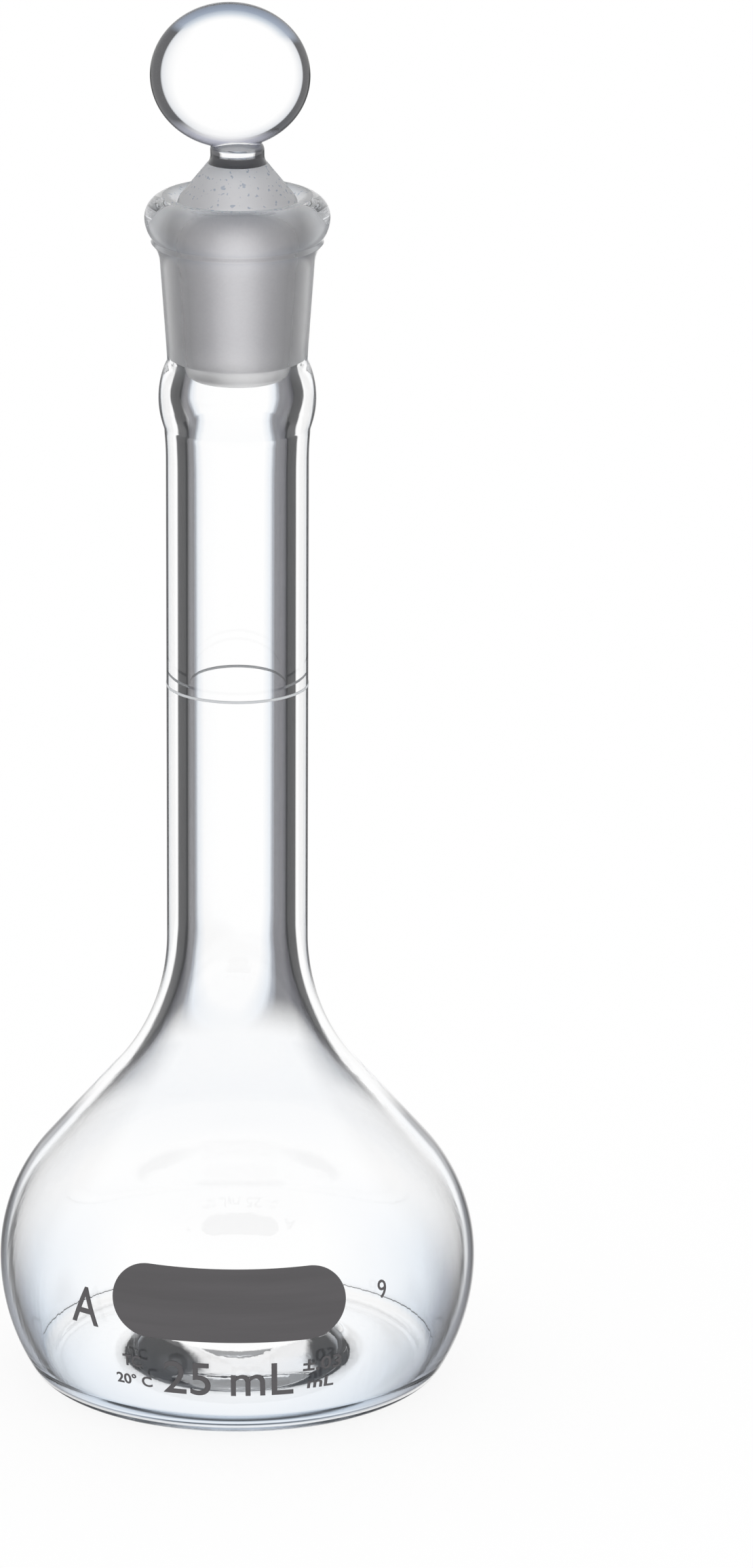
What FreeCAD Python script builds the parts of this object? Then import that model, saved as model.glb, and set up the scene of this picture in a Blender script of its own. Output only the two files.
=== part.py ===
import FreeCAD, Part
import Sketcher
import math
import os
import re

# One-mark volumetric flask with a ground glass stopper, in millimetres.
# The origin is the middle of the base, +Z runs up the axis, and the marks face -Y.

SIZES = {
    # blown bulb and neck
    "bulb_diameter": 40.8,
    "base_inset": 4.3,
    "base_ring_width": 1.3,
    "heel_radius": 2.1,
    "lower_side_radius": 17.65,
    "upper_side_radius": 14.8,
    "shoulder_slope": 41.0,
    "shoulder_radius": 18.3,
    "inner_shoulder_radius": 20.2,
    "bulb_wall": 1.06,
    "floor_thickness": 1.1,
    "inner_heel_radius": 2.6,
    "punt_rise": 0.6,
    "hump_radius": 11.4,
    "hump_top_radius": 6.0,
    "hump_rise": 2.3,
    "hump_sink": 0.1,
    "neck_bore": 8.24,
    "neck_wall": 1.88,
    "neck_length": 44.65,
    "seal_wall": 2.04,
    "seal_flare_radius": 25.0,
    # graduation line, etched into the neck above the shoulder
    "mark_rise": 22.3,
    "mark_line_width": 0.22,
    "mark_depth": 0.06,
    # ground socket, with heights above the seal and walls outside the bore
    "bulge_rise": 2.5,
    "bulge_wall": 1.81,
    "relief_depth": 0.435,
    "waist_rise": 5.8,
    "waist_wall": 1.49,
    "ground_rise": 5.7,
    "collar_rise": 14.2,
    "collar_wall": 1.67,
    "lip_rise": 17.95,
    "lip_round": 1.9,
    "mouth_flare": 0.87,
    # stopper, hung from the crest of the lip
    "fit_clearance": 0.03,
    "taper": 0.1,
    "plug_diameter": 10.0,
    "plug_length": 14.8,
    "plug_sink": 0.85,
    "plug_edge_round": 0.5,
    "plug_shoulder_round": 1.2,
    "cone_angle": 39.0,
    "stem_diameter": 4.5,
    "stem_fillet": 1.0,
    "stem_length": 0.61,
    "stem_sink": 0.5,
    "knob_width": 13.3,
    "knob_height": 12.26,
    "knob_thickness": 4.2,
    "knob_edge_round": 1.9,
    "knob_offset": 0.6,
    # fired-on enamel marks, with heights above the base, angles from -Y towards +X and the gaps
    # between the capacity and the words beside it, and between the patch and the signs beside it
    "enamel_clearance": 0.02,
    "enamel_thickness": 0.04,
    "patch_width": 19.6,
    "patch_height": 6.15,
    "patch_level": 12.62,
    "capacity_letter": 3.3,
    "capacity_stroke": 0.42,
    "capacity_level": 4.45,
    "capacity_angle": 0.0,
    "small_letter": 1.05,
    "small_stroke": 0.2,
    "small_upper_level": 6.6,
    "small_lower_level": 4.75,
    "tolerance_letter": 1.3,
    "side_word_gap": 0.12,
    "class_letter": 3.3,
    "class_stroke": 0.32,
    "class_level": 9.65,
    "class_gap": 1.24,
    "stopper_letter": 1.55,
    "stopper_stroke": 0.16,
    "stopper_level": 12.0,
    "stopper_gap": 3.17,
}


def bore_at(level):
    """The radius of the ground bore at a height: the plug's radius there and the clearance."""
    return "(plug_diameter / 2 - (" + PLUG_TOP + " - " + level + ") * taper / 2 + fit_clearance)"


# Sizes that follow from the driving ones
BULB_RADIUS = "(bulb_diameter / 2)"
BASE_RADIUS = "(" + BULB_RADIUS + " - base_inset)"
PUNT_RADIUS = "(" + BASE_RADIUS + " - base_ring_width)"
PUNT_SPHERE = "((" + PUNT_RADIUS + "^2 + punt_rise^2) / (2 * punt_rise))"
BED_SPHERE = "(" + PUNT_SPHERE + " + floor_thickness / 2)"
HUMP_FOOT = (
    "(punt_rise - " + PUNT_SPHERE +
    " + sqrt((" + PUNT_SPHERE + " + floor_thickness - hump_sink)^2 - hump_radius^2))"
)
HUMP_TOP = "(" + HUMP_FOOT + " + hump_rise)"
EQUATOR = (
    "(heel_radius + sqrt((lower_side_radius - heel_radius)^2"
    " - (lower_side_radius - base_inset)^2))"
)
BORE_RADIUS = "(neck_bore / 2)"
NECK_RADIUS = "(" + BORE_RADIUS + " + neck_wall)"
SLOPE_RUN = (
    "(" + BULB_RADIUS + " - upper_side_radius - " + NECK_RADIUS + " - shoulder_radius"
    " + (upper_side_radius + shoulder_radius) * cos(shoulder_slope * 1 deg))"
)
SHOULDER_END = (
    "(" + EQUATOR + " + (upper_side_radius + shoulder_radius) * sin(shoulder_slope * 1 deg)"
    " + " + SLOPE_RUN + " / tan(shoulder_slope * 1 deg))"
)
MARK_LEVEL = "(" + SHOULDER_END + " + mark_rise)"
SEAL_LEVEL = "(" + SHOULDER_END + " + neck_length)"
SEAL_RADIUS = "(" + BORE_RADIUS + " + seal_wall)"

BULGE_LEVEL = "(" + SEAL_LEVEL + " + bulge_rise)"
WAIST_LEVEL = "(" + SEAL_LEVEL + " + waist_rise)"
GROUND_END = "(" + SEAL_LEVEL + " + ground_rise)"
COLLAR_LEVEL = "(" + SEAL_LEVEL + " + collar_rise)"
LIP_LEVEL = "(" + SEAL_LEVEL + " + lip_rise)"
PLUG_TOP = "(" + LIP_LEVEL + " + lip_round - plug_sink)"
RELIEF_RADIUS = "(" + bore_at(GROUND_END) + " + relief_depth)"
BULGE_RADIUS = "(" + RELIEF_RADIUS + " + bulge_wall)"
WAIST_RADIUS = "(" + bore_at(WAIST_LEVEL) + " + waist_wall)"
COLLAR_RADIUS = "(" + bore_at(COLLAR_LEVEL) + " + collar_wall)"
LIP_RADIUS = "(" + bore_at(LIP_LEVEL) + " + mouth_flare + lip_round)"

PLUG_FOOT = "(" + PLUG_TOP + " - plug_length)"
STEM_RADIUS = "(stem_diameter / 2)"
CONE_RUN = (
    "(plug_diameter / 2 - " + STEM_RADIUS +
    " - plug_shoulder_round * (cos(atan(taper / 2)) - cos(cone_angle * 1 deg))"
    " - stem_fillet * (1 - cos(cone_angle * 1 deg)))"
)
STEM_FOOT = (
    "(" + PLUG_TOP + " + plug_shoulder_round * (sin(atan(taper / 2)) + sin(cone_angle * 1 deg))"
    " + " + CONE_RUN + " / tan(cone_angle * 1 deg) + stem_fillet * sin(cone_angle * 1 deg))"
)
STEM_TOP = "(" + STEM_FOOT + " + stem_length)"
STEM_ROOT = "(" + STEM_TOP + " + stem_sink)"
KNOB_LEVEL = "(" + STEM_TOP + " + knob_height / 2)"

PATCH_RADIUS = "(patch_height / 2)"
BULB_AT_CAPACITY = (
    "(" + BULB_RADIUS + " - lower_side_radius"
    " + sqrt(lower_side_radius^2 - (" + EQUATOR + " - capacity_level)^2))"
)
BULB_AT_PATCH = (
    "(" + BULB_RADIUS + " - upper_side_radius"
    " + sqrt(upper_side_radius^2 - (patch_level - " + EQUATOR + ")^2))"
)
SKIN_FOOT = "(capacity_level - small_letter)"
SKIN_HEAD = "(patch_level + " + PATCH_RADIUS + " + small_letter)"

# Which point of a line or an arc a constraint takes
START, END, CENTRE = range(1, 4)
ACROSS_AXIS, UP_AXIS = range(-1, -3, -1)
ORIGIN = (ACROSS_AXIS, START)

# Plain stroke letters on a cap height of 1: lines by their ends, arcs by centre, radius and angles
GLYPHS = {
    "0": (0.6, [("line", 0, 0.3, 0, 0.7), ("line", 0.6, 0.3, 0.6, 0.7),
                ("arc", 0.3, 0.7, 0.3, 0, 180), ("arc", 0.3, 0.3, 0.3, 180, 360)]),
    "2": (0.6, [("arc", 0.3, 0.7, 0.3, -40, 175), ("line", 0.53, 0.507, 0, 0),
                ("line", 0, 0, 0.6, 0)]),
    "3": (0.55, [("arc", 0.27, 0.745, 0.255, -90, 145), ("arc", 0.27, 0.245, 0.245, -145, 90)]),
    "5": (0.6, [("line", 0.52, 1, 0.08, 1), ("line", 0.08, 1, 0.081, 0.547),
                ("arc", 0.28, 0.31, 0.31, -150, 130)]),
    "9": (0.54, [("arc", 0.27, 0.73, 0.27, 0, 360), ("line", 0.53, 0.67, 0.22, 0)]),
    "A": (0.8, [("line", 0, 0, 0.4, 1), ("line", 0.4, 1, 0.8, 0), ("line", 0.16, 0.34, 0.64, 0.34)]),
    "C": (0.78, [("arc", 0.5, 0.5, 0.5, 50, 310)]),
    "L": (0.5, [("line", 0, 1, 0, 0), ("line", 0, 0, 0.5, 0)]),
    "T": (0.64, [("line", 0, 1, 0.64, 1), ("line", 0.32, 1, 0.32, 0)]),
    "m": (0.76, [("line", 0, 0, 0, 0.68), ("line", 0.38, 0, 0.38, 0.49), ("line", 0.76, 0, 0.76, 0.49),
                 ("arc", 0.19, 0.49, 0.19, 0, 180), ("arc", 0.57, 0.49, 0.19, 0, 180)]),
    "°": (0.26, [("arc", 0.13, 0.84, 0.13, 0, 360)]),
    "±": (0.5, [("line", 0, 0.62, 0.5, 0.62), ("line", 0.25, 0.37, 0.25, 0.87), ("line", 0, 0, 0.5, 0)]),
    ".": (0.04, [("line", 0, 0, 0.04, 0)]),
    " ": (0.2, []),
    "gap": (0.08, []),
}

# The round of the thumb piece's rim takes up at most this share of its thickness
RIM_SHARE = 0.48

doc = FreeCAD.newDocument("volumetric_flask")
sheet = doc.addObject("Spreadsheet::Sheet", "Sizes")
for row, (alias, number) in enumerate(SIZES.items(), start=1):
    sheet.set("A%d" % row, alias)
    sheet.set("B%d" % row, str(number))
    sheet.setAlias("B%d" % row, alias)
doc.recompute()


def on_sheet(text):
    """Points every size named in an expression at its cell."""
    return re.sub(r"[a-z_]+", lambda word: "Sizes." + word[0] if word[0] in SIZES else word[0], text)


def value(text):
    """The number that an expression on the sheet has now, in millimetres or degrees."""
    result = sheet.evalExpression(on_sheet(text))
    return float(getattr(result, "Value", result))


def flat(point):
    return FreeCAD.Vector(point[0], point[1], 0)


class Outline:
    """A sketch on a body's XZ plane: across is the radius and up is the height."""

    def __init__(self, body, name):
        self.sketch = body.newObject("Sketcher::SketchObject", name)
        plane = next(face for face in body.Origin.OriginFeatures if face.Role == "XZ_Plane")
        self.sketch.AttachmentSupport = [(plane, "")]
        self.sketch.MapMode = "FlatFace"

    def line(self, start, end):
        return self.sketch.addGeometry(Part.LineSegment(flat(start), flat(end)))

    def arc(self, centre, radius, start_degrees, end_degrees):
        circle = Part.Circle(flat(centre), FreeCAD.Vector(0, 0, 1), radius)
        curve = Part.ArcOfCircle(circle, math.radians(start_degrees), math.radians(end_degrees))
        return self.sketch.addGeometry(curve)

    def relate(self, kind, *where):
        return self.sketch.addConstraint(Sketcher.Constraint(kind, *where))

    def join(self, *pairs):
        for first, first_point, second, second_point in pairs:
            self.relate("Coincident", first, first_point, second, second_point)

    def smooth(self, *pairs):
        for first, first_point, second, second_point in pairs:
            self.relate("Tangent", first, first_point, second, second_point)

    def size(self, kind, *where, by):
        number = value(by)
        if kind == "Angle":
            number = math.radians(number)
            by = "(" + by + ") * 1 deg"
        index = self.relate(kind, *where, number)
        self.sketch.setExpression("Constraints[%d]" % index, on_sheet(by))

    def place(self, element, point, across=None, up=None):
        """Fixes a point's radius and height from the origin."""
        if across:
            self.size("DistanceX", *ORIGIN, element, point, by=across)
        if up:
            self.size("DistanceY", *ORIGIN, element, point, by=up)

    def revolve(self, body, name, feature="PartDesign::Revolution"):
        turned = body.newObject(feature, name)
        turned.Profile = self.sketch
        turned.ReferenceAxis = (self.sketch, ["V_Axis"])
        turned.Angle = 360
        return turned


def new_body(label):
    body = doc.addObject("PartDesign::Body", label)
    body.Label = label
    return body


def polar(centre, radius, degrees):
    angle = math.radians(degrees)
    return (centre[0] + radius * math.cos(angle), centre[1] + radius * math.sin(angle))


def bearing(centre, point):
    return math.degrees(math.atan2(point[1] - centre[1], point[0] - centre[0]))


def flask_wall(body):
    """The glass wall of bulb and neck, from the middle of the base round to the floor inside."""
    bulb_radius = value(BULB_RADIUS)
    ring_radius = value(BASE_RADIUS)
    heel = value("heel_radius")
    lower = value("lower_side_radius")
    upper = value("upper_side_radius")
    slope = value("shoulder_slope")
    shoulder = value("shoulder_radius")
    wall = value("bulb_wall")
    neck = value(NECK_RADIUS)
    bore = value(BORE_RADIUS)
    seal = value(SEAL_LEVEL)
    seal_radius = value(SEAL_RADIUS)
    flare = value("seal_flare_radius")
    punt_radius = value(PUNT_RADIUS)
    punt = value("punt_rise")
    floor = value("floor_thickness")
    inner_heel = value("inner_heel_radius")

    equator = value(EQUATOR)
    heel_centre = (ring_radius, heel)
    lower_centre = (bulb_radius - lower, equator)
    upper_centre = (bulb_radius - upper, equator)
    shoulder_centre = (neck + shoulder, value(SHOULDER_END))
    flare_turn = math.degrees(math.acos(1 - (seal_radius - neck) / flare))
    flare_start = seal - flare * math.sin(math.radians(flare_turn))
    punt_sphere = value(PUNT_SPHERE)
    punt_centre = (0, punt - punt_sphere)
    heel_turn = bearing(lower_centre, heel_centre)

    # inside, the cone lies a wall below the outer one and bends into the bore higher up
    inner_upper = upper - wall
    inner_shoulder = value("inner_shoulder_radius")
    tilt = math.radians(slope)
    bend_reach = bore + inner_shoulder - upper_centre[0]
    bend_rise = (inner_upper + inner_shoulder - bend_reach * math.cos(tilt)) / math.sin(tilt)
    bend_centre = (bore + inner_shoulder, equator + bend_rise)

    # the fillet inside the heel touches the side and the floor
    side_reach = lower - wall - inner_heel
    floor_reach = punt_sphere + floor + inner_heel
    span = math.dist(punt_centre, lower_centre)
    along = (floor_reach**2 - side_reach**2 + span**2) / (2 * span)
    toward = bearing(punt_centre, lower_centre)
    corner_turn = toward - math.degrees(math.acos(along / floor_reach))
    corner_centre = polar(punt_centre, floor_reach, corner_turn)
    corner_side = bearing(lower_centre, corner_centre)

    plan = Outline(body, "flask_outline")
    underside = plan.arc(punt_centre, punt_sphere, bearing(punt_centre, (punt_radius, 0)), 90)
    ring = plan.line((punt_radius, 0), (ring_radius, 0))
    heel_arc = plan.arc(heel_centre, heel, -90, heel_turn)
    lower_arc = plan.arc(lower_centre, lower, heel_turn, 0)
    upper_arc = plan.arc(upper_centre, upper, 0, slope)
    cone = plan.line(polar(upper_centre, upper, slope), polar(shoulder_centre, shoulder, 180 + slope))
    shoulder_arc = plan.arc(shoulder_centre, shoulder, 180, 180 + slope)
    neck_line = plan.line((neck, shoulder_centre[1]), (neck, flare_start))
    flare_arc = plan.arc((neck + flare, flare_start), flare, 180 - flare_turn, 180)
    seal_line = plan.line((seal_radius, seal), (bore, seal))
    bore_line = plan.line((bore, seal), (bore, bend_centre[1]))
    shoulder_in = plan.arc(bend_centre, inner_shoulder, 180, 180 + slope)
    cone_in = plan.line(polar(bend_centre, inner_shoulder, 180 + slope),
                        polar(upper_centre, inner_upper, slope))
    upper_in = plan.arc(upper_centre, inner_upper, 0, slope)
    lower_in = plan.arc(lower_centre, lower - wall, corner_side, 0)
    heel_in = plan.arc(corner_centre, inner_heel, corner_turn - 180, corner_side)
    floor_arc = plan.arc(punt_centre, punt_sphere + floor, corner_turn, 90)
    axis = plan.line((0, punt + floor), (0, punt))

    plan.join(
        (underside, START, ring, START),
        (flare_arc, START, seal_line, START),
        (seal_line, END, bore_line, START),
        (floor_arc, END, axis, START),
        (axis, END, underside, END),
        (upper_in, CENTRE, upper_arc, CENTRE),
        (lower_in, CENTRE, lower_arc, CENTRE),
        (floor_arc, CENTRE, underside, CENTRE),
    )
    plan.smooth(
        (ring, END, heel_arc, START),
        (heel_arc, END, lower_arc, START),
        (lower_arc, END, upper_arc, START),
        (upper_arc, END, cone, START),
        (cone, END, shoulder_arc, END),
        (shoulder_arc, START, neck_line, START),
        (neck_line, END, flare_arc, END),
        (bore_line, END, shoulder_in, START),
        (shoulder_in, END, cone_in, START),
        (cone_in, END, upper_in, END),
        (upper_in, START, lower_in, END),
        (lower_in, START, heel_in, END),
        (heel_in, START, floor_arc, START),
    )
    plan.relate("PointOnObject", underside, START, ACROSS_AXIS)
    plan.relate("PointOnObject", underside, END, UP_AXIS)
    plan.relate("PointOnObject", underside, CENTRE, UP_AXIS)
    plan.relate("PointOnObject", floor_arc, END, UP_AXIS)
    plan.relate("Horizontal", ring)
    plan.relate("Horizontal", lower_arc, CENTRE, lower_arc, END)
    plan.relate("Vertical", neck_line)
    plan.relate("Horizontal", seal_line)
    plan.relate("Vertical", bore_line)
    plan.place(underside, START, across=PUNT_RADIUS)
    plan.place(underside, END, up="punt_rise")
    plan.place(ring, END, across=BASE_RADIUS)
    plan.size("Radius", heel_arc, by="heel_radius")
    plan.size("Radius", lower_arc, by="lower_side_radius")
    plan.place(lower_arc, END, across=BULB_RADIUS)
    plan.size("Radius", upper_arc, by="upper_side_radius")
    plan.size("Angle", cone, by="90 + shoulder_slope")
    plan.size("Radius", shoulder_arc, by="shoulder_radius")
    plan.place(neck_line, END, across=NECK_RADIUS)
    plan.size("Radius", flare_arc, by="seal_flare_radius")
    plan.place(seal_line, START, across=SEAL_RADIUS, up=SEAL_LEVEL)
    plan.place(bore_line, START, across=BORE_RADIUS)
    plan.relate("Parallel", cone_in, cone)
    plan.size("Radius", shoulder_in, by="inner_shoulder_radius")
    plan.size("Radius", upper_in, by="upper_side_radius - bulb_wall")
    plan.size("DistanceY", axis, END, axis, START, by="floor_thickness")
    plan.size("Radius", heel_in, by="inner_heel_radius")
    return plan


def floor_hump(body):
    """The thick middle of the floor, raised inside: two equal bends from the floor to a flat top."""
    sphere = value(BED_SPHERE)
    bed_level = value("punt_rise + floor_thickness / 2")
    foot = value(HUMP_FOOT)
    level = value(HUMP_TOP)
    wide = value("hump_radius")
    narrow = value("hump_top_radius")
    run = wide - narrow
    rise = level - foot
    bend = (run**2 + rise**2) / (4 * rise)
    steepest = math.degrees(2 * math.atan2(rise, run))
    bed_centre = (0, bed_level - sphere)
    bed_end = (wide, bed_centre[1] + math.sqrt(sphere**2 - wide**2))
    plan = Outline(body, "hump_outline")
    bed = plan.arc(bed_centre, sphere, bearing(bed_centre, bed_end), 90)
    side = plan.line(bed_end, (wide, foot))
    lower = plan.arc((wide, foot + bend), bend, 270 - steepest, 270)
    upper = plan.arc((narrow, level - bend), bend, 90 - steepest, 90)
    top = plan.line((narrow, level), (0, level))
    axis = plan.line((0, level), (0, bed_level))
    plan.join((bed, START, side, START), (side, END, lower, END))
    plan.join((top, END, axis, START), (axis, END, bed, END))
    plan.smooth((lower, START, upper, START), (upper, END, top, START))
    plan.relate("Equal", lower, upper)
    plan.relate("PointOnObject", bed, CENTRE, UP_AXIS)
    plan.relate("PointOnObject", axis, END, UP_AXIS)
    plan.relate("Vertical", side)
    plan.relate("Vertical", lower, CENTRE, lower, END)
    plan.relate("Horizontal", top)
    plan.relate("Vertical", axis)
    plan.size("Radius", bed, by=BED_SPHERE)
    plan.place(axis, END, up="punt_rise + floor_thickness / 2")
    plan.place(lower, END, across="hump_radius", up=HUMP_FOOT)
    plan.place(top, START, across="hump_top_radius", up=HUMP_TOP)
    return plan


def band(body, name, inner, outer, middle, width):
    """A rectangle across a wall, named by its radii, its middle height and its width."""
    low = value(middle + " - " + width + " / 2")
    high = value(middle + " + " + width + " / 2")
    near = value(inner)
    far = value(outer)
    plan = Outline(body, name)
    foot = plan.line((near, low), (far, low))
    side = plan.line((far, low), (far, high))
    head = plan.line((far, high), (near, high))
    back = plan.line((near, high), (near, low))
    plan.join((foot, END, side, START), (side, END, head, START))
    plan.join((head, END, back, START), (back, END, foot, START))
    for level in (foot, head):
        plan.relate("Horizontal", level)
    for upright in (side, back):
        plan.relate("Vertical", upright)
    plan.place(back, START, across=inner)
    plan.place(side, START, across=outer, up=middle + " - " + width + " / 2")
    plan.place(side, END, up=middle + " + " + width + " / 2")
    return plan


def make_flask_body():
    body = new_body("flask_body")
    flask_wall(body).revolve(body, "flask_wall")
    doc.recompute()
    plain = body.Shape.Volume
    floor_hump(body).revolve(body, "thick_floor")
    doc.recompute()
    whole = body.Shape.Volume
    etched = band(body, "etched_groove", NECK_RADIUS + " - mark_depth", NECK_RADIUS + " + mark_depth",
                  MARK_LEVEL, "mark_line_width")
    etched.revolve(body, "etched_line", "PartDesign::Groove")
    doc.recompute()
    if whole <= plain or body.Shape.Volume >= whole:
        raise RuntimeError("the floor isn't raised, or the groove cuts nothing")
    return body


def make_graduation_ring():
    body = new_body("graduation_ring")
    stain = band(body, "ring_outline", NECK_RADIUS + " - mark_depth", NECK_RADIUS,
                 MARK_LEVEL, "mark_line_width")
    stain.revolve(body, "ring_stain")
    return body


def make_ground_socket():
    """The heavy mouth piece: bulge over the seal, tapered wall, beaded lip and ground bore."""
    seal = value(SEAL_LEVEL)
    seal_radius = value(SEAL_RADIUS)
    bulge_radius = value(BULGE_RADIUS)
    bulge = value(BULGE_LEVEL)
    waist = (value(WAIST_RADIUS), value(WAIST_LEVEL))
    collar = (value(COLLAR_RADIUS), value(COLLAR_LEVEL))
    lip_radius = value(LIP_RADIUS)
    lip = value(LIP_LEVEL)
    lip_round = value("lip_round")
    neck_bore = value(BORE_RADIUS)
    relief = value(RELIEF_RADIUS)
    ground_end = (value(bore_at(GROUND_END)), value(GROUND_END))
    half_taper = value("atan(taper / 2)")

    def hump_radius(drop, reach):
        return (drop**2 + reach**2) / (2 * drop)

    below = hump_radius(bulge_radius - seal_radius, bulge - seal)
    above = hump_radius(bulge_radius - waist[0], waist[1] - bulge)
    below_centre = (bulge_radius - below, bulge)
    above_centre = (bulge_radius - above, bulge)
    lean = 90 - bearing(waist, collar)

    # under the lip a hollow bend and a round bend of one radius meet smoothly, which the sketch
    # settles from this radius for a wall that leans only a little
    rise = lip - collar[1]
    reach = lip_radius - collar[0]
    tip = math.radians(lean)
    bend = (rise**2 + reach**2) / (2 * (reach * (1 + math.cos(tip)) + rise * math.sin(tip)))
    hollow_centre = polar(collar, bend, -lean)
    round_centre = (lip_radius - bend, lip)
    meet = bearing(round_centre, hollow_centre)

    crest_centre = (lip_radius - lip_round, lip)
    crest = lip + lip_round
    taper_angle = math.radians(half_taper)
    clear = ((crest_centre[0] - ground_end[0]) * math.cos(taper_angle)
             - (crest - ground_end[1]) * math.sin(taper_angle))
    mouth = clear / (1 - math.sin(taper_angle))
    mouth_centre = (crest_centre[0], crest - mouth)

    body = new_body("ground_socket")
    plan = Outline(body, "socket_outline")
    bulge_low = plan.arc(below_centre, below, bearing(below_centre, (seal_radius, seal)), 0)
    bulge_high = plan.arc(above_centre, above, 0, bearing(above_centre, waist))
    wall = plan.line(waist, collar)
    hollow = plan.arc(hollow_centre, bend, meet + 180, 180 - lean)
    under_lip = plan.arc(round_centre, bend, meet, 0)
    bead = plan.arc(crest_centre, lip_round, 0, 90)
    mouth_arc = plan.arc(mouth_centre, mouth, 90, 180 - half_taper)
    ground = plan.line(ground_end, polar(mouth_centre, mouth, 180 - half_taper))
    widening = plan.line(ground_end, (relief, bulge))
    narrowing = plan.line((relief, bulge), (neck_bore, seal))
    foot = plan.line((neck_bore, seal), (seal_radius, seal))

    plan.join(
        (bulge_high, END, wall, START),
        (ground, START, widening, START),
        (widening, END, narrowing, START),
        (narrowing, END, foot, START),
        (foot, END, bulge_low, START),
    )
    plan.smooth(
        (bulge_low, END, bulge_high, START),
        (wall, END, hollow, END),
        (hollow, START, under_lip, START),
        (under_lip, END, bead, START),
        (bead, END, mouth_arc, START),
        (mouth_arc, END, ground, END),
    )
    plan.relate("Horizontal", bulge_low, CENTRE, bulge_low, END)
    plan.relate("Horizontal", under_lip, CENTRE, under_lip, END)
    plan.relate("Vertical", bead, CENTRE, bead, END)
    plan.relate("Equal", hollow, under_lip)
    plan.relate("Horizontal", foot)
    plan.place(foot, END, across=SEAL_RADIUS, up=SEAL_LEVEL)
    plan.place(foot, START, across=BORE_RADIUS)
    plan.place(bulge_low, END, across=BULGE_RADIUS, up=BULGE_LEVEL)
    plan.place(wall, START, across=WAIST_RADIUS, up=WAIST_LEVEL)
    plan.place(wall, END, across=COLLAR_RADIUS, up=COLLAR_LEVEL)
    plan.place(under_lip, END, across=LIP_RADIUS, up=LIP_LEVEL)
    plan.size("Radius", bead, by="lip_round")
    plan.place(ground, START, across=bore_at(GROUND_END), up=GROUND_END)
    plan.size("Angle", ground, by="90 - atan(taper / 2) / 1 deg")
    plan.place(widening, END, across=RELIEF_RADIUS, up=BULGE_LEVEL)
    plan.revolve(body, "socket_wall")
    return body


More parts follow.
